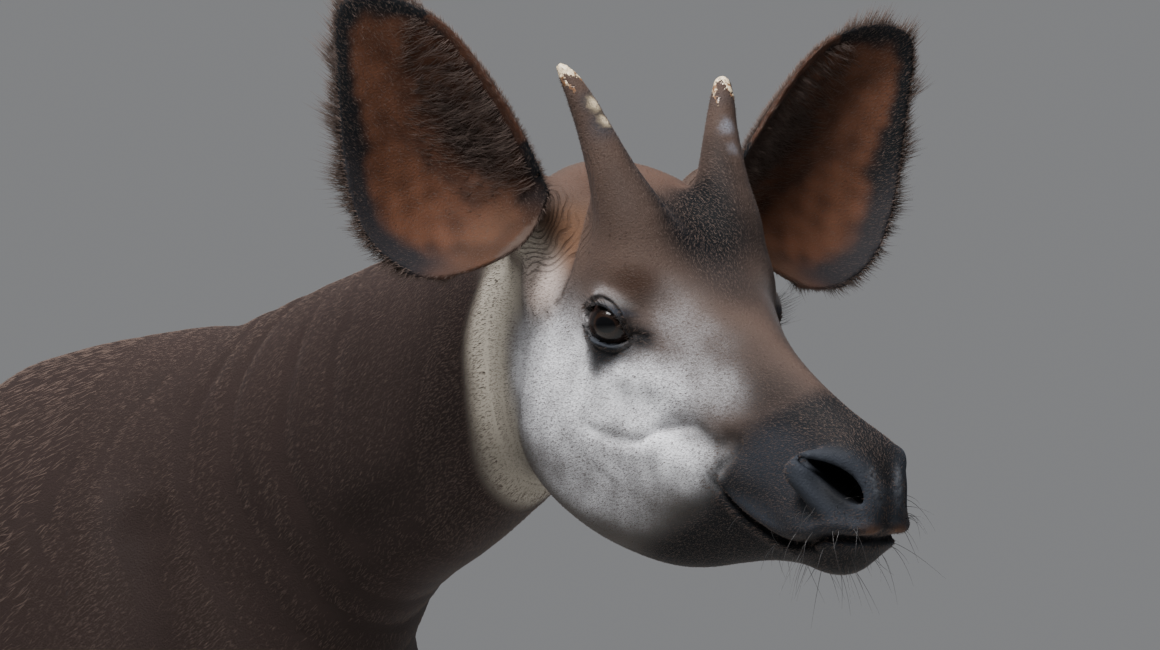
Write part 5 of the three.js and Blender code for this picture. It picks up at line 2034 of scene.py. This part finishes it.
def eye_material(settings):
    """A dark eye, its pupil a lying oval, its iris streaked, under a clear coat."""
    material, w, shader = new_material("eye", roughness=0.25, specular_ior_level=0.1, **CORNEA_GLOSS)
    across, up = w.attribute("Across"), w.attribute("Up")
    wide = w.math("DIVIDE", across, settings.pupil_width / MM)
    high = w.math("DIVIDE", up, settings.pupil_height / MM)
    pupil = w.math("ADD", w.product(wide, wide), w.product(high, high))
    reach = w.math("SQRT", w.math("ADD", w.product(across, across), w.product(up, up)))
    turn = w.math("ARCTAN2", up, across)
    fibres = w.node("ShaderNodeCombineXYZ", {0: w.product(turn, 5.0), 1: w.product(reach, 0.12)}).outputs[0]
    brown = w.mix(w.noise(2.6, 3.0, fibres), (0.006, 0.003, 0.002), tuple(settings.iris))
    colour = w.mix(w.ramp(pupil, 0.85, 1.2), (0.001, 0.001, 0.0015), brown)
    edge = settings.iris_radius / MM
    colour = w.mix(w.ramp(reach, edge - 2.2, edge), colour, (0.004, 0.003, 0.003))
    colour = w.mix(w.ramp(reach, edge + 0.6, edge + 3), colour, (0.014, 0.008, 0.007))
    w.links.new(colour, shader.inputs["Base Color"])
    return material


class OKAPI_OT_eyes(Operator):
    """Set both eyeballs into their sockets"""

    bl_idname = "okapi.eyes"
    bl_label = "Eyes"

    def execute(self, context):
        settings = context.scene.okapi_eyes
        material = eye_material(settings)
        turns = np.linspace(0, 2 * math.pi, 64, endpoint=False)
        for side, name in ((-1, "eye_right"), (1, "eye_left")):
            rings = []
            for tilt in np.linspace(0.02, math.pi - 0.02, 48):
                reach = settings.radius + CORNEA[0] * MM * math.exp(-((tilt / CORNEA[1]) ** 4))
                across, up = np.cos(turns) * math.sin(tilt), np.sin(turns) * math.sin(tilt)
                out = across[:, None] * EYE_SIDE + up[:, None] * EYE_UP + math.cos(tilt) * EYE_OUT
                rings.append(EYE_MIDDLE + reach * out)
            flat = np.concatenate(rings) - EYE_MIDDLE
            marks = {"Across": flat @ EYE_SIDE / MM, "Up": flat @ EYE_UP / MM}
            marks["Across"][flat @ EYE_OUT < 0] = settings.radius / MM
            rings = [from_head(ring * np.array((1, side, 1))) for ring in rings]
            eye = add_piece(name + "_ball", ring_mesh(rings), material, "eye", name)
            give_marks(eye.data, marks)
        return {"FINISHED"}


def horn_material(settings):
    """Bone, stained and cracked, brown where the skin begins."""
    material, w, shader = new_material("bare_horn", roughness=0.35)
    place = w.place()
    chipped = w.scaled(w.attribute("Along"), -0.36, w.noise(190.0, 4.0, place))
    crack = w.ramp(w.noise(420.0, 3.0, place), 0.56, 0.66)
    colour = w.mix(w.ramp(chipped, 0.30, 0.42), hue("bone"), tuple(settings.stain))
    colour = w.mix(w.product(crack, 0.6), colour, (0.06, 0.03, 0.018))
    w.links.new(colour, shader.inputs["Base Color"])
    w.bump(shader, 0.6, 0.0006, w.noise(300.0, 3.0, place))
    return material


class OKAPI_OT_horn_tips(Operator):
    """Make the bare, chipped ends of the ossicones, ragged where the skin begins"""

    bl_idname = "okapi.horn_tips"
    bl_label = "Horn tips"

    def execute(self, context):
        settings = context.scene.okapi_horns
        material = horn_material(settings)
        rng = np.random.default_rng(5)
        turns = np.linspace(0, 2 * math.pi, 36, endpoint=False)
        for side, name in ((-1, "right"), (1, "left")):
            horn = Limb(ossicone_rows(side), (1, 0, 0), 8)
            lobes = rng.uniform(0, 2 * math.pi, 4)
            ragged = sum(np.sin(turns * (k + 2) + lobe) / (k + 1.5) for k, lobe in enumerate(lobes))
            starts = horn.travel[-1] - settings.bare - (1 + 3.2 * ragged) * MM
            rings = []
            for share in np.linspace(0, 1, 22):
                travel = starts + (horn.travel[-1] - starts) * share
                middle, reach, across, ahead = (
                    np.stack([np.interp(travel, horn.travel, column) for column in rows.T], 1)
                    for rows in (horn.middles, horn.reaches, horn.side, horn.up)
                )
                chips = 0.03 * rng.normal(size=len(turns)) * (share < 0.98)
                wear = 1 + 0.05 * np.sin(turns * 3 + lobes[0] + share * 5) + chips
                wear = wear * (0.90 + 0.05 * min(1, share * 6))
                ring = middle + across * (np.cos(turns) * reach[:, 2] * wear)[:, None]
                rings.append(ring + ahead * (np.sin(turns) * reach[:, 0] * wear)[:, None])
            rings = [from_head(ring) for ring in rings]
            tip = add_piece("horn_tip_" + name, ring_mesh(rings), material, "bone", "ossicone_tip_" + name)
            give_marks(tip.data, {"Along": np.repeat(np.linspace(0, 1, len(rings)), len(turns))})
        return {"FINISHED"}


# Each level of a claw: height, reach forward and back, half width
CLAW = [(0, 50, 42, 16), (12, 49, 43, 17), (36, 40, 41, 17.5), (61.7, 30, 36, 17)]
TOE_NARROWING = 0.3  # share of its half width that a claw loses towards the toe
TOE_TURN = 0.45  # how far the toe turns to the foot's middle, in half widths
RING_SCALE = (14.0, 14.0, 260.0)  # of the growth rings: close together upwards, long around


def hoof_material(settings):
    """Dark horn with level growth rings."""
    material, w, shader = new_material("hoof_horn", roughness=0.42)
    place = w.node("ShaderNodeMapping", {"Vector": w.place(), "Scale": RING_SCALE}).outputs[0]
    rings = w.noise(1.0, 3.0, place)
    colour = w.mix(w.ramp(rings, 0.35, 0.7), tuple(settings.dark), tuple(settings.light))
    w.links.new(colour, shader.inputs["Base Color"])
    w.bump(shader, 0.6, 0.0008, rings)
    return material


class OKAPI_OT_hooves(Operator):
    """Make two claws to a foot, blunt behind and drawn to the toe in front"""

    bl_idname = "okapi.hooves"
    bl_label = "Hooves"

    def execute(self, context):
        settings = context.scene.okapi_hooves
        turns = np.linspace(0, 2 * math.pi, 40, endpoint=False)
        toe = np.maximum(np.cos(turns), 0)
        whole = bmesh.new()
        for name in STRIDE:
            x, y = leg_rows(name)[-1][:2]
            for way in (-1, 1):
                rings = []
                for z, front, back, half in smooth_rows(CLAW, 6):
                    ahead = x + np.cos(turns) * np.where(toe > 0, front, back)
                    aside = y + way * settings.spread / MM + np.sin(turns) * half * (1 - TOE_NARROWING * toe)
                    aside = aside - way * toe**2 * half * TOE_TURN
                    rings.append(np.column_stack((ahead, aside, np.full(len(turns), z))) * MM)
                add_to(whole, ring_mesh(rings))
        nodes = [f"hoof_{name}_{claw}" for name in STRIDE for claw in ("inner", "outer")]
        add_piece("hooves", whole, hoof_material(settings), "hoof_horn", *nodes)
        return {"FINISHED"}


# Long hair

# The tail's tuft, in millimetres: heights of its first and last roots and of its tips
TUFT = {"hairs": 2600, "first": 1066, "last": 992, "tips": (818, 900)}


def long_hairs(name, rng, rows, width):
    """Three-sided hairs, thick at the root, that bend on their way to a point."""
    roots, ways, bends, lengths, ground, spots = rows
    count = len(roots)
    ways = units(ways)
    side = units(np.cross(ways, rng.normal(size=(count, 3))))
    other = np.cross(ways, side)
    long = lengths[:, None] * MM
    middle = roots + ways * long * 0.5 + bends * long * 0.22
    tip = roots + ways * long * 0.92 + bends * long * 0.8
    ring = []
    for centre, reach in ((roots, width * MM / 2), (middle, width * MM * 0.38)):
        for k in range(3):
            turn = 2 * math.pi * k / 3
            ring.append(centre + (side * math.cos(turn) + other * math.sin(turn)) * reach)
    points = np.stack([*ring, tip], 1)
    sides = [(a, b, b + 3, a, b + 3, a + 3) for a, b in ((0, 1), (1, 2), (2, 0))]
    corners = [(0, 2, 1), *np.array(sides).reshape(-1, 3).tolist(), (3, 4, 6), (4, 5, 6), (5, 3, 6)]
    faces = (np.arange(count)[:, None, None] * 7 + np.array(corners)).reshape(-1, 3)
    around = [(-0.5, -0.5), (0.5, -0.5), (0, -0.3), (-0.4, 0.1), (0.4, 0.1), (0, 0.2), (0, 0.5)]
    uvs = np.clip(spots[:, None, :] + PATCH * np.array(around), 0, 1)
    out = [point - roots for point in ring[:3]] + [point - middle for point in ring[3:]] + [ways]
    out = np.stack(out, 1).reshape(-1, 3)
    mesh = face_arrays(name, (points + ORIGIN).reshape(-1, 3), faces, uvs.reshape(-1, 2), out)
    blank = np.zeros(count)
    marks = {"Ground": ground, "Pale": blank, "White": blank - 1, "Phase": blank, "Striped": blank}
    give_marks(mesh, {**marks, "Grain": rng.random(count)}, 7)
    give_marks(mesh, {"Tip": np.tile((0.1, 0.1, 0.1, 0.5, 0.5, 0.5, 1.0), count)})
    return mesh


def on_ear(ear, angles, share, lift):
    """Places on an ear in its own frame, told by the way from its middle and the share of it to the edge."""
    edge = np.interp(angles, ear.angles, ear.edge, period=2 * math.pi)
    along = EAR_MIDDLE[0] * MM + np.cos(angles) * edge * share
    across = EAR_MIDDLE[1] * MM + np.sin(angles) * edge * share
    return np.column_stack((along, across, ear.hollow(share, along) + lift))


ROOT_REACH = 0.002  # a hair whose root lies farther off the ear than this is left out
EAR_HAIRS = {"fringe": 5600, "front": 1500, "floor": 450}  # how many to each ear


def ear_soot():
    return np.array(hue("black")) * 1.4


def ear_fringe(ear, rng):
    """The fringe round an ear's edge, longest at the ear's end and on its outer side."""
    count = EAR_HAIRS["fringe"]
    angles = rng.uniform(-math.pi, math.pi, count)
    local = on_ear(ear, angles, rng.uniform(0.95, 1.0, count), rng.uniform(-1, 1, count) * ear.wall * 0.4)
    out = np.column_stack((np.cos(angles), np.sin(angles), rng.normal(-0.2, 0.35, count)))
    out = out + rng.normal(0, 0.16, (count, 3)) + np.array((0.35, 0, 0))
    outer = step_between(-38, 20, local[:, 1] / MM)
    outer = np.maximum(outer, step_between(150, 190, local[:, 0] / MM))
    lengths = rng.uniform(5, 8.5, count)
    lengths = lengths + outer * rng.uniform(3, 15, count) * (0.8 + 0.4 * ripple(local, 18, 8))
    wisps = (rng.random(count) < 0.06) & (outer > 0.5)
    lengths[wisps] += rng.uniform(5, 11, wisps.sum())
    ground = mixed(np.array(hue("rust")), ear_soot(), outer)
    ground = mixed(ground, SHADES["ear_grey"], (rng.random(count) < 0.4) * outer)
    bends = np.tile((0.25, -0.1, -0.1), (count, 1))
    return local, out, bends, lengths, ground, local[:, 0] > 8 * MM


def ear_front_hair(ear, rng):
    """Long hair from the ear's front edge, that leans over its cup in locks."""
    count = EAR_HAIRS["front"]
    angles = np.radians(rng.uniform(-165, -25, count))
    share = 0.93 - 0.6 * rng.random(count) ** 1.8
    local = on_ear(ear, angles, share, ear.wall / 2)
    locks = ripple(local, 12, 10)
    ways = np.array((0.2, 0.75, 0.35)) + rng.normal(0, 0.14, (count, 3))
    ways = ways + locks[:, None] * np.array((0.3, -0.1, 0.1))
    bends = np.array((0.15, 0.3, -0.55)) + rng.normal(0, 0.12, (count, 3))
    lengths = rng.uniform(9, 22, count) * (0.5 + 0.5 * share) * (0.9 + 0.25 * locks)
    dark = (rng.normal(0, 0.5, count) + ripple(local, 24, 11) < -0.5)[:, None]
    lit = np.array(hue("rust")) * rng.uniform(0.9, 2.2, count)[:, None]
    kept = (local[:, 0] > 12 * MM) & (local[:, 0] < 175 * MM)
    return local, ways, bends, lengths, np.where(dark, ear_soot() * 2, lit), kept


def ear_floor_hair(ear, rng):
    """Shorter hair along the floor of the cup."""
    count = EAR_HAIRS["floor"]
    local = np.column_stack((rng.uniform(22, 120, count), rng.normal(2, 13, count), np.zeros(count))) * MM
    share, _ = ear.outline(local)
    local[:, 2] = ear.hollow(share, local[:, 0]) + ear.wall / 2
    ways = np.array((0.5, 0.5, 0.5)) + rng.normal(0, 0.2, (count, 3))
    bends = np.array((0.4, 0.2, -0.4)) + rng.normal(0, 0.1, (count, 3))
    brown = rng.random(count)[:, None] * (np.array(hue("rust")) - ear_soot())
    return local, ways, bends, rng.uniform(7, 15, count), ear_soot() * 2 + brown, np.ones(count, bool)


def ear_hair(animal, rng):
    """The fringes round both ears, and the long hair inside them."""
    pieces = []
    for ear in animal.ears.values():
        zero = ear.world(np.zeros((1, 3)))
        for kind in (ear_fringe, ear_front_hair, ear_floor_hair):
            *rows, kept = kind(ear, rng)
            kept = kept & (ear(ear.world(rows[0])) < ROOT_REACH)
            local, ways, bends, lengths, ground = (row[kept] for row in rows)
            spots = ear_chart(local, (ear.side > 0) * 2 + 1)
            ways, bends = ear.world(ways) - zero, ear.world(bends) - zero
            pieces.append((ear.world(local), ways, bends, lengths, ground, spots))
    rows = [np.concatenate(column) for column in zip(*pieces)]
    return long_hairs("ear_hair", rng, rows, 0.42)


def tail_hair(tail, rng):
    """Long hairs that leave the end of the tail all round and hang."""
    count = TUFT["hairs"]
    height = rng.uniform(TUFT["last"], TUFT["first"], count)
    heights, middles = tail.middles[::-1, 2], tail.middles[::-1, :2]
    around = rng.uniform(0, 2 * math.pi, count)
    out = np.column_stack((np.cos(around), np.sin(around), np.zeros(count)))
    centre = np.column_stack([np.interp(height * MM, heights, column) for column in middles.T])
    roots = np.column_stack((centre, height * MM)) + out * 0.008
    ways = out * rng.uniform(0.05, 0.2, count)[:, None] + np.array((0, 0, -1.0))
    bends = -out * rng.uniform(0.0, 0.14, count)[:, None]
    lengths = height - rng.uniform(*TUFT["tips"], count)
    ground = np.array(hue("black")) * rng.uniform(1.2, 3.5, count)[:, None]
    spots = spread_in_chart(around / (2 * math.pi), (height - TUFT["last"]) / 80)
    return long_hairs("tail_tuft_hair", rng, (roots, ways, bends, lengths, ground, spots), 1.5)


class OKAPI_OT_ear_hair(Operator):
    """Add the fringes and the long inner hair of both ears"""

    bl_idname = "okapi.ear_hair"
    bl_label = "Ear hair"

    def execute(self, context):
        add_mesh("ear_hair", ear_hair(okapi(), np.random.default_rng(21)), tuft_material(), "ear_hair")
        return {"FINISHED"}


class OKAPI_OT_tail_tuft(Operator):
    """Hang the long tuft on the end of the tail"""

    bl_idname = "okapi.tail_tuft"
    bl_label = "Tail tuft"

    def execute(self, context):
        mesh = tail_hair(okapi().tail, np.random.default_rng(22))
        add_mesh("tail_tuft_hair", mesh, tuft_material(), "coat", "tail_tuft")
        return {"FINISHED"}


# Whiskers and lashes


def bristle_tree(material):
    """Bristles on points: each has a way and a length; they bend under their weight."""
    tree = bpy.data.node_groups.new("Bristles", "GeometryNodeTree")
    tree.interface.new_socket("Points", in_out="INPUT", socket_type="NodeSocketGeometry")
    for name, value in (("Thickness", 0.0005), ("Bend", 0.2), ("Waviness", 0.08)):
        socket = tree.interface.new_socket(name, in_out="INPUT", socket_type="NodeSocketFloat")
        socket.default_value = value
    tree.interface.new_socket("Seed", in_out="INPUT", socket_type="NodeSocketInt").default_value = 3
    tree.interface.new_socket("Bristles", in_out="OUTPUT", socket_type="NodeSocketGeometry")
    w = Wiring(tree)
    given = w.node("NodeGroupInput").outputs

    def named(name, kind="FLOAT_VECTOR"):
        found = w.node("GeometryNodeInputNamedAttribute", data_type=kind)
        found.inputs["Name"].default_value = name
        return found.outputs["Attribute"]

    line = w.node("GeometryNodeCurvePrimitiveLine", {"Start": (0, 0, 0), "End": (0, 0, 1)}).outputs["Curve"]
    line = w.node("GeometryNodeResampleCurve", {"Curve": line, "Count": 7}).outputs["Curve"]
    turn = w.node("FunctionNodeAlignEulerToVector", {"Vector": named("Way")}, axis="Z").outputs["Rotation"]
    size = named("Length", "FLOAT")
    placed = w.node(
        "GeometryNodeInstanceOnPoints",
        {"Points": given["Points"], "Instance": line, "Rotation": turn, "Scale": size},
    ).outputs["Instances"]
    curves = w.node("GeometryNodeRealizeInstances", {"Geometry": placed}).outputs["Geometry"]
    share = w.node("GeometryNodeSplineParameter").outputs["Factor"]
    fall = w.product(share, share, given["Bend"], -0.04)
    drop = w.node("ShaderNodeCombineXYZ", {2: fall}).outputs[0]
    index = w.node("GeometryNodeCurveOfPoint").outputs["Curve Index"]
    spread = {"Min": (-1, -1, -1), "Max": (1, 1, 1), "ID": index, "Seed": given["Seed"]}
    wave = w.node("FunctionNodeRandomValue", spread, data_type="FLOAT_VECTOR")
    sway = w.node("ShaderNodeVectorMath", {0: wave.outputs[0]}, operation="SCALE")
    w.links.new(w.product(share, share, given["Waviness"], 0.05), sway.inputs["Scale"])
    offset = w.node("ShaderNodeVectorMath", {0: drop, 1: sway.outputs[0]}, operation="ADD").outputs[0]
    curves = w.node("GeometryNodeSetPosition", {"Geometry": curves, "Offset": offset}).outputs["Geometry"]
    taper = w.product(given["Thickness"], w.scaled(share, -0.42, 0.5))
    curves = w.node("GeometryNodeSetCurveRadius", {"Curve": curves, "Radius": taper}).outputs["Curve"]
    ring = w.node("GeometryNodeCurvePrimitiveCircle", {"Resolution": 5, "Radius": 1.0}).outputs["Curve"]
    tubes = w.node("GeometryNodeCurveToMesh", {"Curve": curves, "Profile Curve": ring, "Fill Caps": True})
    for socket in tubes.inputs:
        if socket.name == "Scale":
            w.links.new(taper, socket)
    whole = w.node("GeometryNodeRealizeInstances", {"Geometry": tubes.outputs["Mesh"]}).outputs["Geometry"]
    dressed = w.node("GeometryNodeSetMaterial", {"Geometry": whole, "Material": material}).outputs["Geometry"]
    w.links.new(dressed, w.node("NodeGroupOutput").inputs["Bristles"])
    return tree


def bristles(name, roots, ways, lengths, sizes):
    """A piece of bristles from their tree, applied."""
    tint = tuple(bpy.context.scene.okapi_bristles.tint)
    material = bpy.data.materials.get("bristle") or plain_material("bristle", tint, roughness=0.4)
    tree = bpy.data.node_groups.get("Bristles") or bristle_tree(material)
    mesh = bpy.data.meshes.new(name + "_roots")
    mesh.from_pydata((roots + ORIGIN).tolist(), [], [])
    way = mesh.attributes.new("Way", "FLOAT_VECTOR", "POINT")
    way.data.foreach_set("vector", units(ways).ravel())
    mesh.attributes.new("Length", "FLOAT", "POINT").data.foreach_set("value", lengths)
    holder = bpy.data.objects.new(name + "_roots", mesh)
    bpy.context.scene.collection.objects.link(holder)
    modifier = holder.modifiers.new("Bristles", "NODES")
    modifier.node_group = tree
    sockets = {item.name: item.identifier for item in tree.interface.items_tree if item.in_out == "INPUT"}
    for size, value in sizes.items():
        modifier[sockets[size.title()]] = value
    bpy.context.view_layer.update()
    done = bpy.data.meshes.new_from_object(holder.evaluated_get(bpy.context.evaluated_depsgraph_get()))
    bpy.data.objects.remove(holder)
    done.name = name
    add_object(name, done, "face_hair")


class OKAPI_OT_whiskers(Operator):
    """Set whiskers on lips and chin"""

    bl_idname = "okapi.whiskers"
    bl_label = "Whiskers"

    def execute(self, context):
        settings = context.scene.okapi_bristles
        rng = np.random.default_rng(11)
        _, points, normals = okapi_skin()
        place = to_head(points)
        above = above_mouth(place)
        below = (place[:, 0] > 0.14) & (above < -0.004)
        over = (place[:, 0] > 0.15) & (place[:, 0] < 0.28) & (above > 0.004) & (above < 0.035)
        chin = rng.choice(np.flatnonzero(below), settings.chin, replace=False)
        lips = rng.choice(np.flatnonzero(over), settings.lips, replace=False)
        picked = np.concatenate((chin, lips))
        ways = normals[picked] + rng.normal(0, 0.22, (len(picked), 3)) + np.array((0.25, -0.05, -0.15))
        lengths = [rng.uniform(0.26, 1, len(chin)), rng.uniform(0.21, 0.68, len(lips))]
        lengths = np.concatenate(lengths) * settings.longest
        sizes = {"thickness": 0.00045, "bend": 0.25, "waviness": 0.16}
        bristles("whiskers", points[picked], ways, lengths, sizes)
        return {"FINISHED"}


class OKAPI_OT_lashes(Operator):
    """Set lashes on both upper lids"""

    bl_idname = "okapi.lashes"
    bl_label = "Lashes"

    def execute(self, context):
        rng = np.random.default_rng(12)
        roots, ways, lengths = [], [], []
        for side in (-1, 1):
            mirror = np.array((1, side, 1))
            for share in np.linspace(-0.92, 0.98, context.scene.okapi_bristles.lashes):
                across = share * LID_HALF[0] * MM
                tries = np.linspace(0.0, 0.022, 60)
                up = tries[np.argmin(np.abs(lid_edge(across, tries) - 0.0006))]
                out = math.sqrt(max((EYE_RADIUS * MM + 0.0016) ** 2 - across**2 - up**2, 0))
                root = EYE_MIDDLE + EYE_SIDE * across + EYE_UP * up + EYE_OUT * out
                way = EYE_OUT + EYE_SIDE * (share * 0.5 - 0.1) + EYE_UP * 0.35 + rng.normal(0, 0.08, 3)
                roots.append(from_head(root * mirror))
                ways.append(way * mirror @ HEAD_AXES.T)
                lengths.append(rng.uniform(0.011, 0.022))
        sizes = {"thickness": 0.0004, "bend": -0.08, "waviness": 0.05}
        bristles("lashes", np.array(roots), np.array(ways), np.array(lengths), sizes)
        return {"FINISHED"}


# Stage

# Degrees to the right of the animal's side, lens in millimetres, and metres from the eyes' middle
CAMERA = {"turn": 40, "lens": 232.76, "aside": 0.0912, "below": 0.0016, "away": 6}
FLOOR_HALF = 18
# Where each lamp stands from the eyes' middle, and its side
LAMPS = {"key": ((0.2, -2.0, 3.2), 1.7), "fill": ((3.2, -1.6, 0.8), 2.5), "top": ((-1.2, 0.6, 3.0), 2.0)}


def add_camera(eyes):
    """The photo's own view: level, from the animal's front right."""
    turn = math.radians(CAMERA["turn"])
    back = Vector((math.sin(turn), -math.cos(turn), 0))
    right = Vector((math.cos(turn), math.sin(turn), 0))
    camera = bpy.data.cameras.new("camera")
    camera.lens, camera.sensor_width = CAMERA["lens"], 36
    viewer = bpy.data.objects.new("camera", camera)
    viewer.location = eyes - right * CAMERA["aside"] - Vector((0, 0, CAMERA["below"])) + back * CAMERA["away"]
    viewer.rotation_euler = (math.pi / 2, 0, turn)
    bpy.context.scene.collection.objects.link(viewer)
    bpy.context.scene.camera = viewer


class OKAPI_OT_stage(Operator):
    """Set up the floor, the lamps, the light all round and the camera"""

    bl_idname = "okapi.stage"
    bl_label = "Stage"

    def execute(self, context):
        settings = context.scene.okapi_stage
        bm = bmesh.new()
        bmesh.ops.create_grid(bm, x_segments=1, y_segments=1, size=FLOOR_HALF)
        mesh = bpy.data.meshes.new("floor")
        bm.to_mesh(mesh)
        bm.free()
        mesh.materials.append(plain_material("floor", tuple(settings.floor), roughness=0.9))
        floor = bpy.data.objects.new("floor", mesh)
        context.scene.collection.objects.link(floor)

        eyes = Vector(EYES) * MM + Vector(ORIGIN)
        add_camera(eyes)
        for name, (place, size) in LAMPS.items():
            lamp = bpy.data.lights.new(name, "AREA")
            lamp.energy, lamp.size = getattr(settings, name), size
            holder = bpy.data.objects.new(name, lamp)
            holder.location = eyes + Vector(place)
            holder.rotation_euler = (-Vector(place)).to_track_quat("-Z", "Y").to_euler()
            holder.visible_glossy = name == "key"
            context.scene.collection.objects.link(holder)
        world = bpy.data.worlds.new("studio")
        world.use_nodes = True
        background = world.node_tree.nodes["Background"].inputs
        background["Color"].default_value = (*settings.backdrop, 1)
        background["Strength"].default_value = settings.strength
        context.scene.world = world
        return {"FINISHED"}


# The add-on

SETTINGS = {
    "okapi_skin": OkapiSkinSettings,
    "okapi_coat": OkapiCoatSettings,
    "okapi_eyes": OkapiEyeSettings,
    "okapi_horns": OkapiHornSettings,
    "okapi_hooves": OkapiHoofSettings,
    "okapi_bristles": OkapiBristleSettings,
    "okapi_stage": OkapiStageSettings,
}
OPERATORS = [
    OKAPI_OT_skin,
    OKAPI_OT_coat,
    OKAPI_OT_ear_hair,
    OKAPI_OT_tail_tuft,
    OKAPI_OT_eyes,
    OKAPI_OT_horn_tips,
    OKAPI_OT_hooves,
    OKAPI_OT_whiskers,
    OKAPI_OT_lashes,
    OKAPI_OT_stage,
]


class OKAPI_PT_panel(Panel):
    """The okapi's settings and pieces"""

    bl_label = "Okapi"
    bl_space_type = "VIEW_3D"
    bl_region_type = "UI"
    bl_category = "Okapi"

    def draw(self, context):
        for key in SETTINGS:
            box = self.layout.box()
            box.label(text=key.removeprefix("okapi_").capitalize())
            group = getattr(context.scene, key)
            for name in group.__annotations__:
                box.prop(group, name)
        for operator in OPERATORS:
            self.layout.operator(operator.bl_idname)


def register():
    for made in (*SETTINGS.values(), *OPERATORS, OKAPI_PT_panel):
        bpy.utils.register_class(made)
    for key, group in SETTINGS.items():
        setattr(bpy.types.Scene, key, PointerProperty(type=group))


def unregister():
    for key in SETTINGS:
        delattr(bpy.types.Scene, key)
    for made in (OKAPI_PT_panel, *reversed(OPERATORS), *reversed(SETTINGS.values())):
        bpy.utils.unregister_class(made)


def main():
    register()
    bpy.ops.okapi.skin()
    bpy.ops.okapi.coat()
    bpy.ops.okapi.ear_hair()
    bpy.ops.okapi.tail_tuft()
    bpy.ops.okapi.eyes()
    bpy.ops.okapi.horn_tips()
    bpy.ops.okapi.hooves()
    bpy.ops.okapi.whiskers()
    bpy.ops.okapi.lashes()
    bpy.ops.okapi.stage()


if __name__ == "__main__":
    main()
